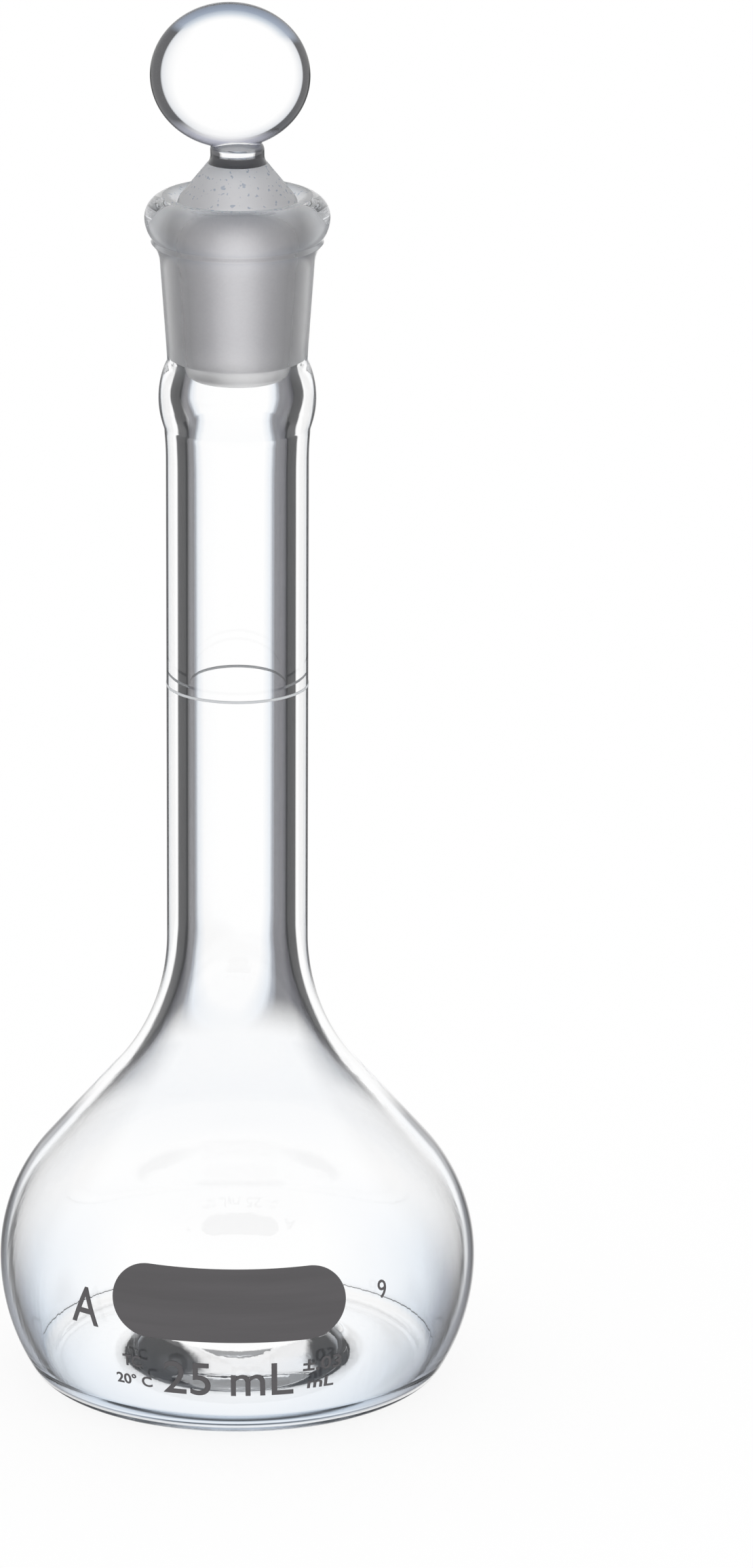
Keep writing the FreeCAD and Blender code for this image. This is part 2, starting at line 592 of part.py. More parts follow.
def make_stopper():
    """Solid pressed glass: the thumb piece first, then stem, cone and ground plug."""
    body = new_body("stopper")
    knob_level = value(KNOB_LEVEL)
    offset = value("knob_offset")
    wide = value("knob_width / 2")
    tall = value("knob_height / 2")
    disc = Outline(body, "knob_outline")
    middle = FreeCAD.Vector(-offset, knob_level, 0)
    oval = disc.sketch.addGeometry(Part.Ellipse(middle, wide, tall))
    disc.sketch.exposeInternalGeometry(oval)
    long_axis, short_axis = oval + 1, oval + 2
    disc.relate("Horizontal", long_axis)
    disc.size("DistanceX", oval, CENTRE, *ORIGIN, by="knob_offset")
    disc.place(oval, CENTRE, up=KNOB_LEVEL)
    disc.size("Distance", long_axis, by="knob_width")
    disc.size("Distance", short_axis, by="knob_height")
    knob = body.newObject("PartDesign::Pad", "knob_disc")
    knob.Profile = disc.sketch
    knob.SideType = "Symmetric"
    knob.setExpression("Length", on_sheet("knob_thickness"))
    doc.recompute()
    rounded = body.newObject("PartDesign::Fillet", "knob_rim")
    rims = [
        "Edge%d" % number
        for number, edge in enumerate(knob.Shape.Edges, start=1)
        if isinstance(edge.Curve, Part.Ellipse)
    ]
    rounded.Base = (knob, rims)
    rounded.setExpression("Radius", on_sheet("min(knob_edge_round; knob_thickness * %g)" % RIM_SHARE))
    doc.recompute()

    half_taper = value("atan(taper / 2)")
    cone_angle = value("cone_angle")
    edge_round = value("plug_edge_round")
    shoulder_round = value("plug_shoulder_round")
    fillet = value("stem_fillet")
    stem = value(STEM_RADIUS)
    stem_root = value(STEM_ROOT)
    plug_top = (value("plug_diameter / 2"), value(PLUG_TOP))
    plug_foot = value(PLUG_FOOT)
    shoulder_centre = polar(plug_top, shoulder_round, 180 - half_taper)
    lean = math.radians(half_taper)
    edge_level = plug_foot + edge_round
    side_here = plug_top[0] - (plug_top[1] - edge_level) * math.tan(lean)
    edge_centre = (side_here - edge_round / math.cos(lean), edge_level)
    fillet_centre = (stem + fillet, value(STEM_FOOT))

    plan = Outline(body, "plug_outline")
    base = plan.line((0, plug_foot), (edge_centre[0], plug_foot))
    edge = plan.arc(edge_centre, edge_round, -90, -half_taper)
    side = plan.line(polar(edge_centre, edge_round, -half_taper), plug_top)
    shoulder = plan.arc(shoulder_centre, shoulder_round, -half_taper, cone_angle)
    cone = plan.line(polar(shoulder_centre, shoulder_round, cone_angle),
                     polar(fillet_centre, fillet, 180 + cone_angle))
    neck = plan.arc(fillet_centre, fillet, 180, 180 + cone_angle)
    shank = plan.line((stem, fillet_centre[1]), (stem, stem_root))
    dome = plan.arc((0, stem_root), stem, 0, 90)
    axis = plan.line((0, stem_root + stem), (0, plug_foot))
    plan.join((dome, END, axis, START), (axis, END, base, START))
    plan.smooth(
        (base, END, edge, START),
        (edge, END, side, START),
        (side, END, shoulder, START),
        (shoulder, END, cone, START),
        (cone, END, neck, END),
        (neck, START, shank, START),
        (shank, END, dome, START),
    )
    plan.relate("Horizontal", base)
    plan.relate("Vertical", shank)
    plan.relate("PointOnObject", dome, CENTRE, UP_AXIS)
    plan.relate("PointOnObject", axis, START, UP_AXIS)
    plan.relate("PointOnObject", axis, END, UP_AXIS)
    plan.size("Radius", edge, by="plug_edge_round")
    plan.size("Radius", shoulder, by="plug_shoulder_round")
    plan.size("Radius", neck, by="stem_fillet")
    plan.size("Angle", side, by="90 - atan(taper / 2) / 1 deg")
    plan.size("Angle", cone, by="90 + cone_angle")
    plan.place(axis, END, up=PLUG_FOOT)
    plan.place(side, END, across="plug_diameter / 2", up=PLUG_TOP)
    plan.place(shank, END, across=STEM_RADIUS, up=STEM_ROOT)
    plan.revolve(body, "plug_and_stem")
    return body


def make_enamel_skin():
    """A film of enamel all round the bulb, from which each mark is cut."""
    film = value("enamel_thickness")
    equator = value(EQUATOR)
    bulb_radius = value(BULB_RADIUS + " + enamel_clearance")
    lower = value("lower_side_radius + enamel_clearance")
    upper = value("upper_side_radius + enamel_clearance")
    lower_centre = (bulb_radius - lower, equator)
    upper_centre = (bulb_radius - upper, equator)
    foot_turn = -math.degrees(math.asin((equator - value(SKIN_FOOT)) / lower))
    head_turn = math.degrees(math.asin((value(SKIN_HEAD) - equator) / upper))

    body = new_body("enamel_skin")
    plan = Outline(body, "skin_outline")
    lower_in = plan.arc(lower_centre, lower, foot_turn, 0)
    upper_in = plan.arc(upper_centre, upper, 0, head_turn)
    head = plan.line(polar(upper_centre, upper, head_turn), polar(upper_centre, upper + film, head_turn))
    upper_out = plan.arc(upper_centre, upper + film, 0, head_turn)
    lower_out = plan.arc(lower_centre, lower + film, foot_turn, 0)
    foot = plan.line(polar(lower_centre, lower + film, foot_turn), polar(lower_centre, lower, foot_turn))
    plan.join(
        (upper_in, END, head, START),
        (head, END, upper_out, END),
        (lower_out, START, foot, START),
        (foot, END, lower_in, START),
        (lower_out, CENTRE, lower_in, CENTRE),
        (upper_out, CENTRE, upper_in, CENTRE),
        (upper_out, START, lower_out, END),
        (upper_in, START, lower_in, END),
    )
    plan.relate("Horizontal", lower_in, CENTRE, lower_in, END)
    plan.relate("Horizontal", upper_in, CENTRE, upper_in, START)
    plan.relate("Horizontal", lower_out, CENTRE, lower_out, END)
    plan.relate("PointOnObject", lower_in, CENTRE, foot)
    plan.relate("PointOnObject", upper_in, CENTRE, head)
    plan.place(lower_in, END, across=BULB_RADIUS + " + enamel_clearance", up=EQUATOR)
    plan.size("Radius", lower_in, by="lower_side_radius + enamel_clearance")
    plan.size("Radius", upper_in, by="upper_side_radius + enamel_clearance")
    plan.size("Radius", lower_out, by="lower_side_radius + enamel_clearance + enamel_thickness")
    plan.place(lower_in, START, up=SKIN_FOOT)
    plan.place(upper_in, END, up=SKIN_HEAD)
    plan.revolve(body, "enamel_film")
    return body


def make_patch_stencil():
    """The stencil of the writing patch: a bar with round ends, run forwards from the axis."""
    body = new_body("patch_stencil")
    radius = value(PATCH_RADIUS)
    reach = value("patch_width / 2") - radius
    level = value("patch_level")
    plan = Outline(body, "patch_outline")
    left = plan.arc((-reach, level), radius, 90, 270)
    foot = plan.line((-reach, level - radius), (reach, level - radius))
    right = plan.arc((reach, level), radius, -90, 90)
    head = plan.line((reach, level + radius), (-reach, level + radius))
    plan.smooth((left, END, foot, START), (foot, END, right, START))
    plan.smooth((right, END, head, START), (head, END, left, START))
    plan.relate("Horizontal", foot)
    plan.relate("Symmetric", left, CENTRE, right, CENTRE, UP_AXIS)
    plan.size("Radius", right, by=PATCH_RADIUS)
    plan.place(right, CENTRE, across="patch_width / 2 - " + PATCH_RADIUS, up="patch_level")
    stencil = body.newObject("PartDesign::Pad", "patch_bar")
    stencil.Profile = plan.sketch
    stencil.setExpression("Length", on_sheet("bulb_diameter"))
    doc.recompute()
    if body.Shape.BoundBox.YMin > -value(BULB_RADIUS):
        raise RuntimeError("the patch stencil points backwards")
    return body


def stroke_face(stroke, width):
    """A pen stroke as a flat face with round ends."""
    half = width / 2
    if stroke[0] == "line":
        start, end = flat(stroke[1:3]), flat(stroke[3:5])
        along = (end - start).normalize() * half
        across = FreeCAD.Vector(-along.y, along.x, 0)
        edges = [
            Part.LineSegment(start - across, end - across),
            Part.Arc(end - across, end + along, end + across),
            Part.LineSegment(end + across, start + across),
            Part.Arc(start + across, start - along, start - across),
        ]
        return Part.Face(Part.Wire([edge.toShape() for edge in edges]))
    centre, radius, first, last = stroke[1:3], stroke[3], stroke[4], stroke[5]
    upwards = FreeCAD.Vector(0, 0, 1)
    outer = Part.Circle(flat(centre), upwards, radius + half)
    inner = Part.Circle(flat(centre), upwards, radius - half)
    if last - first == 360:
        rim = Part.Wire(outer.toShape())
        hole = Part.Wire(inner.toShape())
        return Part.Face(rim).cut(Part.Face(hole))
    turns = math.radians(first), math.radians(last)
    ends = [flat(polar(centre, radius, turn)) for turn in (first, last)]
    caps = [Part.Face(Part.Wire(Part.Circle(end, upwards, half).toShape())) for end in ends]
    sweep = Part.Wire([
        Part.ArcOfCircle(outer, *turns).toShape(),
        Part.LineSegment(flat(polar(centre, radius + half, last)),
                         flat(polar(centre, radius - half, last))).toShape(),
        Part.ArcOfCircle(inner, *turns).toShape(),
        Part.LineSegment(flat(polar(centre, radius - half, first)),
                         flat(polar(centre, radius + half, first))).toShape(),
    ])
    return Part.Face(sweep).multiFuse(caps)


def letter_gap(height, stroke):
    return value(stroke) + GLYPHS["gap"][0] * value(height)


def text_width(text, height, stroke):
    """The width of a line of words from the middle of its first stroke to the middle of its last."""
    letters = sum(GLYPHS[letter][0] for letter in text) * value(height)
    return letters + letter_gap(height, stroke) * (len(text) - 1)


def half_angle(lines, stroke, radius):
    """The angle that half the widest line takes up on the bulb, with its strokes."""
    widest = max(text_width(text, height, stroke) for text, height, _ in lines) + value(stroke)
    return math.degrees(math.asin(widest / 2 / radius))


def make_text_stencil(label, lines, stroke, angle):
    """Words as bars that run forwards from the axis, one line of them at each level."""
    depth = value("bulb_diameter")
    width = value(stroke)
    bars = []
    for text, height, level in lines:
        scale = value(height)
        gap = letter_gap(height, stroke)
        pen = -text_width(text, height, stroke) / 2
        for letter in text:
            wide, strokes = GLYPHS[letter]
            for kind, *numbers in strokes:
                scaled = [number * scale for number in numbers]
                if kind == "arc":
                    scaled[3:] = numbers[3:]
                scaled[0] += pen
                scaled[1] += value(level)
                if kind == "line":
                    scaled[2] += pen
                    scaled[3] += value(level)
                face = stroke_face((kind, *scaled), width)
                bars.append(face.extrude(FreeCAD.Vector(0, 0, depth)))
            pen += wide * scale + gap
    stencil = doc.addObject("Part::Feature", label)
    words = bars[0].multiFuse(bars[1:])
    upright = FreeCAD.Rotation(FreeCAD.Vector(1, 0, 0), 90)
    turned = FreeCAD.Rotation(FreeCAD.Vector(0, 0, 1), angle)
    stencil.Shape = words
    stencil.Placement = FreeCAD.Placement(FreeCAD.Vector(0, 0, 0), turned.multiply(upright))
    return stencil


def make_mark(label, skin, stencil):
    mark = doc.addObject("Part::Common", label)
    mark.Label = label
    mark.Base = skin
    mark.Tool = stencil
    return mark


def make_marks():
    """The patch and the words, each set beside its neighbour with a gap measured on the bulb."""
    words = {
        "capacity_mark": ([("25 mL", "capacity_letter", "capacity_level")], "capacity_stroke"),
        "temperature_mark": ([("TC", "small_letter", "small_upper_level"),
                              ("20 °C", "small_letter", "small_lower_level")], "small_stroke"),
        "tolerance_mark": ([("±.03", "tolerance_letter", "small_upper_level"),
                            ("mL", "small_letter", "small_lower_level")], "small_stroke"),
        "class_mark": ([("A", "class_letter", "class_level")], "class_stroke"),
        "stopper_size_mark": ([("9", "stopper_letter", "stopper_level")], "stopper_stroke"),
    }
    bulb_low = value(BULB_AT_CAPACITY)
    bulb_mid = value(BULB_AT_PATCH)
    capacity_end = half_angle(*words["capacity_mark"], bulb_low)
    patch_end = math.degrees(math.asin(value("patch_width / 2") / bulb_mid))

    def beside(end, gap, label, bulb):
        return end + math.degrees(value(gap) / bulb) + half_angle(*words[label], bulb)

    angles = {
        "capacity_mark": value("capacity_angle"),
        "temperature_mark": value("capacity_angle")
        - beside(capacity_end, "side_word_gap", "temperature_mark", bulb_low),
        "tolerance_mark": value("capacity_angle")
        + beside(capacity_end, "side_word_gap", "tolerance_mark", bulb_low),
        "class_mark": -beside(patch_end, "class_gap", "class_mark", bulb_mid),
        "stopper_size_mark": beside(patch_end, "stopper_gap", "stopper_size_mark", bulb_mid),
    }
    skin = make_enamel_skin()
    marks = [make_mark("writing_patch", skin, make_patch_stencil())]
    for label, (lines, stroke) in words.items():
        stencil = make_text_stencil(label + "_stencil", lines, stroke, angles[label])
        marks.append(make_mark(label, skin, stencil))
    print({label: round(angle, 2) for label, angle in angles.items()}, "degrees round the bulb")
    return marks


pieces = [make_flask_body(), make_ground_socket(), make_stopper(), make_graduation_ring()] + make_marks()
doc.recompute()

for item in doc.Objects:
    if "Invalid" in item.State or "Error" in item.State:
        raise RuntimeError("failed: " + item.Name)
for piece in pieces:
    if piece.Shape.isNull() or not piece.Shape.isValid() or not piece.Shape.Solids:
        raise RuntimeError("no good solid: " + piece.Label)

os.makedirs("parts", exist_ok=True)
for piece in pieces:
    piece.Shape.exportStep("parts/" + piece.Label + ".step")
    print(piece.Label, len(piece.Shape.Solids), "solids", round(piece.Shape.Volume, 3), "mm3")
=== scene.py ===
import bmesh
import bpy
import math
import numpy as np
from mathutils import Matrix, Vector
from typing import NamedTuple


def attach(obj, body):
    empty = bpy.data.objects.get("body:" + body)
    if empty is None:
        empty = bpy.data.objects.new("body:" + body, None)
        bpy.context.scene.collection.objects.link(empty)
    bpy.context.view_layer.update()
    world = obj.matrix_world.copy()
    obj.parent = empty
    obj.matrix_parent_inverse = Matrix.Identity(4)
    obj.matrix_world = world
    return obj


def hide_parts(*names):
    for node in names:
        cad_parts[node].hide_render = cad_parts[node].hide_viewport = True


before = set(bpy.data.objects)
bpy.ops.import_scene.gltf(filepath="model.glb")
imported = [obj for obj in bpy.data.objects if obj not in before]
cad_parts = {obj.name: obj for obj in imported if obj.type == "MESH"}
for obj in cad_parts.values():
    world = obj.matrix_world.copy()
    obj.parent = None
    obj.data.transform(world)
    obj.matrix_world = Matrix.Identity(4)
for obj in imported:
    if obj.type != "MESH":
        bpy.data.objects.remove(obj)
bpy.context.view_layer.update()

# Sizes of the flask and its stopper in millimetres and degrees, with heights above the bench
MM = 0.001

BULB_RADIUS = 20.4
BASE_RADIUS = 16.1
PUNT_RADIUS = 14.8
PUNT_RISE = 0.6
HUMP_RADIUS = 11.4
HUMP_TOP_RADIUS = 6.0
HUMP_RISE = 2.2
HEEL_ROUND = 2.1
EQUATOR = 10.07
LOWER_SIDE = 17.65
UPPER_SIDE = 14.8
SHOULDER_SLOPE = 41.0
SHOULDER_ROUND = 18.3
INNER_SHOULDER_ROUND = 20.2
BULB_WALL = 1.06
FLOOR_WALL = 1.1
INNER_HEEL_ROUND = 2.6
NECK_RADIUS = 6.0
NECK_BORE = 4.12
SEAL_LEVEL = 83.66
SEAL_RADIUS = 6.16
SEAL_FLARE = 25.0
RING_LEVEL = 61.31
RING_WIDTH = 0.22
RING_PROUD = 0.02
RING_SUNK = 0.06

BULGE_LEVEL = 86.16
BULGE_RADIUS = 6.61
RELIEF_RADIUS = 4.8
RELIEF_ROUND = 4.0
SEAL_ROUND = 1.2
WAIST_LEVEL = 89.46
WAIST_RADIUS = 5.86
COLLAR_LEVEL = 97.86
COLLAR_RADIUS = 6.46
LIP_LEVEL = 101.61
LIP_RADIUS = 7.745
LIP_ROUND = 1.9
LIP_CLEAR_TURN = 72
GROUND_END = 89.36
GROUND_END_RADIUS = 4.365
GROUND_END_ROUND = 0.2
TAPER = 0.1
HALF_TAPER = math.degrees(math.atan(TAPER / 2))

PLUG_FOOT = 87.86
PLUG_TOP = 102.66
PLUG_RADIUS = 5.0
PLUG_EDGE_ROUND = 0.5
PLUG_SHOULDER_ROUND = 1.2
CONE_ANGLE = 39.0
STEM_RADIUS = 2.25
STEM_FILLET = 1.0
STEM_FOOT = 106.9
STEM_ROOT = 107.4
STEM_DOME = 1.2
KNOB_LEVEL = 113.64
KNOB_OFFSET = -0.6
KNOB_HALF_WIDTH = 6.65
KNOB_HALF_HEIGHT = 6.13
KNOB_HALF_THICKNESS = 2.1
KNOB_RIM_SHARE = 0.33
KNOB_BLEND = 0.16

PATCH_WIDTH = 19.6
PATCH_HEIGHT = 6.15
PATCH_LEVEL = 12.62
ENAMEL_PROUD = 0.045
ENAMEL_SUNK = 0.02
ENAMEL_SIDES = (-12.0, 12.0)
ENAMEL_LEVELS = (3.0, 17.0)

# Heights between which the painted shade in the glass's colour comes in, from none to full
BASE_FADE = (13.0, 5.0)
HEM_FADE = (20.0, 25.0)
SHOULDER_FOOT_FADE = (22.0, 26.0)
SHOULDER_HEAD_FADE = (37.0, 33.0)
BORE_FADE = (27.0, 32.5)
SOCKET_FADE = (88.5, 89.5)
LIP_FADE = (98.5, 99.7)
PLUG_FOOT_FADE = (89.6, 88.9)
OPEN_CONE_FADE = (102.2, 103.2)
HANDLE_FADE = (105.0, 105.5)
SHANK_FADE = (107.05, 106.95)
KNOB_FADE = (107.4, 108.0)
KNOB_FOOT_FADE = (109.8, 108.3)
CROWN_FADE = (117.0, 117.8)

# How finely curves are cut
TURN_SEGMENTS = 240
ARC_STEP = 0.5
ARC_TURN = 6
LEAST_ARC_CUTS = 4
MOST_ARC_CUTS = 60
LINE_STEP = 1.5
SAME_POINT = 0.001
KNOB_STEPS = 150
REACH_HALVINGS = 40
ENAMEL_STEP = 0.35
PATCH_TURN = 5
LETTER_STEPS = 6
LETTER_WELD = 1e-4

# In metres: points this close are merged, and edges this short are dropped
WELD = 1e-7
SLIVER = 1e-8

# The height of a capital letter as a share of the font's size
CAP_SHARE = 0.729


class Word(NamedTuple):
    """A line of fired-on letters, with its sizes and the height of its foot in millimetres."""

    text: str
    cap: float
    foot: float
    width: float
    bold: float


# Each mark's piece, its turn round the bulb in degrees and its words
MARKS = {
    "capacity_mark": ("capacity_enamel", 0.0, [
        Word("25 mL", cap=3.3, foot=4.45, width=10.9, bold=0.02)]),
    "temperature_mark": ("temperature_enamel", -23.93, [
        Word("TC", cap=1.05, foot=6.6, width=1.7, bold=0.03),
        Word("20° C", cap=1.0, foot=4.75, width=3.3, bold=0.025)]),
    "tolerance_mark": ("tolerance_enamel", 23.06, [
        Word("±.03", cap=1.25, foot=6.6, width=3.4, bold=0.03),
        Word("mL", cap=1.05, foot=4.85, width=2.35, bold=0.03)]),
    "class_mark": ("class_enamel", -36.78, [
        Word("A", cap=3.35, foot=9.6, width=2.8, bold=0.02)]),
    "stopper_size_mark": ("stopper_size_enamel", 39.47, [
        Word("9", cap=1.6, foot=12.0, width=0.85, bold=0.0)]),
}


def smooth_step(low, high, value):
    share = np.clip((value - low) / (high - low), 0, 1)
    return share * share * (3 - 2 * share)


def polar(centre, radius, degrees):
    angle = math.radians(degrees)
    return (centre[0] + radius * math.cos(angle), centre[1] + radius * math.sin(angle))


def bearing(centre, point):
    return math.degrees(math.atan2(point[1] - centre[1], point[0] - centre[0]))


class Section:
    """Half of a turned piece's section: points of radius and height, each clear or ground."""

    def __init__(self, start):
        self.points = [start]
        self.ground = [0.0]
        self.bore = [0.0]
        self.lining = [0.0]
        self.inside = False

    def add(self, points, ground=0.0):
        self.points.extend(points)
        self.ground.extend([ground] * len(points))
        self.bore.extend([self.bore_share(level) for _, level in points])
        self.lining.extend([float(self.inside)] * len(points))

    def bore_share(self, level):
        """How far a point belongs to the narrow bore: 1 in the neck, fading out over the shoulder."""
        return float(smooth_step(*BORE_FADE, level)) if self.inside else 0.0

    def line(self, end, ground=0.0):
        start = self.points[-1]
        count = max(1, math.ceil(math.dist(start, end) / LINE_STEP))
        shares = [step / count for step in range(1, count + 1)]
        self.add([(start[0] + (end[0] - start[0]) * share, start[1] + (end[1] - start[1]) * share)
                  for share in shares], ground)

    def arc(self, centre, radius, first, last, ground=0.0):
        length = radius * math.radians(abs(last - first))
        count = max(LEAST_ARC_CUTS, math.ceil(abs(last - first) / ARC_TURN),
                    min(MOST_ARC_CUTS, math.ceil(length / ARC_STEP)))
        turns = [first + (last - first) * step / count for step in range(count + 1)]
        points = [polar(centre, radius, turn) for turn in turns]
        if math.dist(points[0], self.points[-1]) < SAME_POINT:
            points = points[1:]
        self.add(points, ground)

    def corner(self, corner, end, radius, ground=0.0):
        """A straight run to a rounded corner, turned towards the end."""
        start = self.points[-1]
        inward = bearing(corner, start)
        outward = bearing(corner, end)
        turn = (outward - inward + 180) % 360 - 180
        reach = radius / math.tan(math.radians(abs(turn) / 2))
        middle = polar(corner, radius / math.sin(math.radians(abs(turn) / 2)), inward + turn / 2)
        first = polar(corner, reach, inward)
        last = polar(corner, reach, outward)
        self.line(first, ground)
        begin = bearing(middle, first)
        sweep = (bearing(middle, last) - begin + 180) % 360 - 180
        self.arc(middle, radius, begin, begin + sweep, ground)


def bulb_radius(level):
    """The bulb's outside radius at a height."""
    side = LOWER_SIDE if level < EQUATOR else UPPER_SIDE
    return BULB_RADIUS - side + math.sqrt(side**2 - (level - EQUATOR)**2)


def flask_section():
    """The flask's wall, from the middle of its base over the lip and down to the floor inside."""
    punt_sphere = (PUNT_RADIUS**2 + PUNT_RISE**2) / (2 * PUNT_RISE)
    punt_centre = (0, PUNT_RISE - punt_sphere)
    heel_centre = (BASE_RADIUS, HEEL_ROUND)
    lower_centre = (BULB_RADIUS - LOWER_SIDE, EQUATOR)
    upper_centre = (BULB_RADIUS - UPPER_SIDE, EQUATOR)
    slope = math.radians(SHOULDER_SLOPE)
    shoulder_reach = NECK_RADIUS + SHOULDER_ROUND - upper_centre[0]
    shoulder_rise = (UPPER_SIDE + SHOULDER_ROUND - shoulder_reach * math.cos(slope)) / math.sin(slope)
    shoulder_centre = (NECK_RADIUS + SHOULDER_ROUND, EQUATOR + shoulder_rise)
    flare_turn = math.degrees(math.acos(1 - (SEAL_RADIUS - NECK_RADIUS) / SEAL_FLARE))
    flare_start = SEAL_LEVEL - SEAL_FLARE * math.sin(math.radians(flare_turn))

    # the shallow hollow under the base and the flask's outside
    wall = Section((0, PUNT_RISE))
    wall.arc(punt_centre, punt_sphere, 90, bearing(punt_centre, (PUNT_RADIUS, 0)))
    wall.line((BASE_RADIUS, 0))
    heel_turn = bearing(lower_centre, heel_centre)
    wall.arc(heel_centre, HEEL_ROUND, -90, heel_turn)
    wall.arc(lower_centre, LOWER_SIDE, heel_turn, 0)
    wall.arc(upper_centre, UPPER_SIDE, 0, SHOULDER_SLOPE)
    wall.line(polar(shoulder_centre, SHOULDER_ROUND, 180 + SHOULDER_SLOPE))
    wall.arc(shoulder_centre, SHOULDER_ROUND, 180 + SHOULDER_SLOPE, 180)
    wall.line((NECK_RADIUS, flare_start))
    wall.arc((NECK_RADIUS + SEAL_FLARE, flare_start), SEAL_FLARE, 180, 180 - flare_turn)

    # the socket's outside: bulge, waist, collar and beaded lip
    def bow_radius(drop, reach):
        return (drop**2 + reach**2) / (2 * drop)

    below = bow_radius(BULGE_RADIUS - SEAL_RADIUS, BULGE_LEVEL - SEAL_LEVEL)
    above = bow_radius(BULGE_RADIUS - WAIST_RADIUS, WAIST_LEVEL - BULGE_LEVEL)
    below_centre = (BULGE_RADIUS - below, BULGE_LEVEL)
    above_centre = (BULGE_RADIUS - above, BULGE_LEVEL)
    waist = (WAIST_RADIUS, WAIST_LEVEL)
    collar = (COLLAR_RADIUS, COLLAR_LEVEL)
    wall.arc(below_centre, below, bearing(below_centre, (SEAL_RADIUS, SEAL_LEVEL)), 0)
    wall.arc(above_centre, above, 0, bearing(above_centre, waist))
    wall.line(collar)
    lean = 90 - bearing(waist, collar)
    tip = math.radians(lean)
    rise = LIP_LEVEL - COLLAR_LEVEL
    reach = LIP_RADIUS - COLLAR_RADIUS
    bend = (rise**2 + reach**2) / (2 * (reach * (1 + math.cos(tip)) + rise * math.sin(tip)))
    hollow_centre = polar(collar, bend, -lean)
    round_centre = (LIP_RADIUS - bend, LIP_LEVEL)
    meet = bearing(round_centre, hollow_centre)
    wall.arc(hollow_centre, bend, 180 - lean, 180 + meet)
    wall.arc(round_centre, bend, meet, 0)
    crest_centre = (LIP_RADIUS - LIP_ROUND, LIP_LEVEL)
    wall.arc(crest_centre, LIP_ROUND, 0, LIP_CLEAR_TURN)
    wall.arc(crest_centre, LIP_ROUND, LIP_CLEAR_TURN, 90, ground=1.0)

    # the mouth, the ground bore and the relief below it
    taper = math.radians(HALF_TAPER)
    crest = LIP_LEVEL + LIP_ROUND
    clear = ((crest_centre[0] - GROUND_END_RADIUS) * math.cos(taper)
             - (crest - GROUND_END) * math.sin(taper))
    mouth = clear / (1 - math.sin(taper))
    mouth_centre = (crest_centre[0], crest - mouth)
    wall.arc(mouth_centre, mouth, 90, 180 - HALF_TAPER, ground=1.0)
    ground_end = (GROUND_END_RADIUS, GROUND_END)
    relief = (RELIEF_RADIUS, BULGE_LEVEL)
    seal_inside = (NECK_BORE, SEAL_LEVEL)
    wall.corner(ground_end, relief, GROUND_END_ROUND, ground=1.0)
    wall.inside = True
    wall.corner(relief, seal_inside, RELIEF_ROUND)

    # the bore and the inside of shoulder, bulb, heel and floor
    inner_upper = UPPER_SIDE - BULB_WALL
    bend_reach = NECK_BORE + INNER_SHOULDER_ROUND - upper_centre[0]
    bend_rise = ((inner_upper + INNER_SHOULDER_ROUND - bend_reach * math.cos(slope))
                 / math.sin(slope))
    bend_centre = (NECK_BORE + INNER_SHOULDER_ROUND, EQUATOR + bend_rise)
    side_reach = LOWER_SIDE - BULB_WALL - INNER_HEEL_ROUND
    floor_reach = punt_sphere + FLOOR_WALL + INNER_HEEL_ROUND
    span = math.dist(punt_centre, lower_centre)
    along = (floor_reach**2 - side_reach**2 + span**2) / (2 * span)
    corner_turn = bearing(punt_centre, lower_centre) - math.degrees(math.acos(along / floor_reach))
    corner_centre = polar(punt_centre, floor_reach, corner_turn)
    corner_side = bearing(lower_centre, corner_centre)
    wall.corner(seal_inside, (NECK_BORE, bend_centre[1]), SEAL_ROUND)
    wall.line((NECK_BORE, bend_centre[1]))
    wall.arc(bend_centre, INNER_SHOULDER_ROUND, 180, 180 + SHOULDER_SLOPE)
    wall.line(polar(upper_centre, inner_upper, SHOULDER_SLOPE))
    wall.arc(upper_centre, inner_upper, SHOULDER_SLOPE, 0)
    wall.arc(lower_centre, LOWER_SIDE - BULB_WALL, 0, corner_side)
    wall.arc(corner_centre, INNER_HEEL_ROUND, corner_side, corner_turn - 180)
    floor_sphere = punt_sphere + FLOOR_WALL
    hump_foot = punt_centre[1] + math.sqrt(floor_sphere**2 - HUMP_RADIUS**2)
    wall.arc(punt_centre, floor_sphere, corner_turn, bearing(punt_centre, (HUMP_RADIUS, hump_foot)))
    hump_run = HUMP_RADIUS - HUMP_TOP_RADIUS
    hump_bend = (hump_run**2 + HUMP_RISE**2) / (4 * HUMP_RISE)
    hump_turn = math.degrees(2 * math.atan2(HUMP_RISE, hump_run))
    hump_top = hump_foot + HUMP_RISE
    wall.arc((HUMP_RADIUS, hump_foot + hump_bend), hump_bend, 270, 270 - hump_turn)
    wall.arc((HUMP_TOP_RADIUS, hump_top - hump_bend), hump_bend, 90 - hump_turn, 90)
    wall.line((0, hump_top))
    return wall


def ring_section():
    """The stained line: a thin band let into the neck."""
    half = RING_WIDTH / 2
    proud = NECK_RADIUS + RING_PROUD
    sunk = NECK_RADIUS - RING_SUNK
    band = Section((sunk, RING_LEVEL - half))
    for point in ((proud, RING_LEVEL - half), (proud, RING_LEVEL + half),
                  (sunk, RING_LEVEL + half), (sunk, RING_LEVEL - half)):
        band.line(point)
    return band


class Nodes:
    """A node tree that is filled one node at a time."""

    def __init__(self, tree):
        self.tree = tree

    def add(self, kind, inputs=None, **settings):
        node = self.tree.nodes.new(kind)
        for name, setting in settings.items():
            setattr(node, name, setting)
        for name, source in (inputs or {}).items():
            self.feed(node.inputs[name], source)
        return node

    def feed(self, socket, source):
        if isinstance(source, bpy.types.NodeSocket):
            self.tree.links.new(source, socket)
        else:
            socket.default_value = source

    def math(self, operation, first, second=0.0, third=0.0):
        return self.add("ShaderNodeMath", {0: first, 1: second, 2: third}, operation=operation).outputs[0]


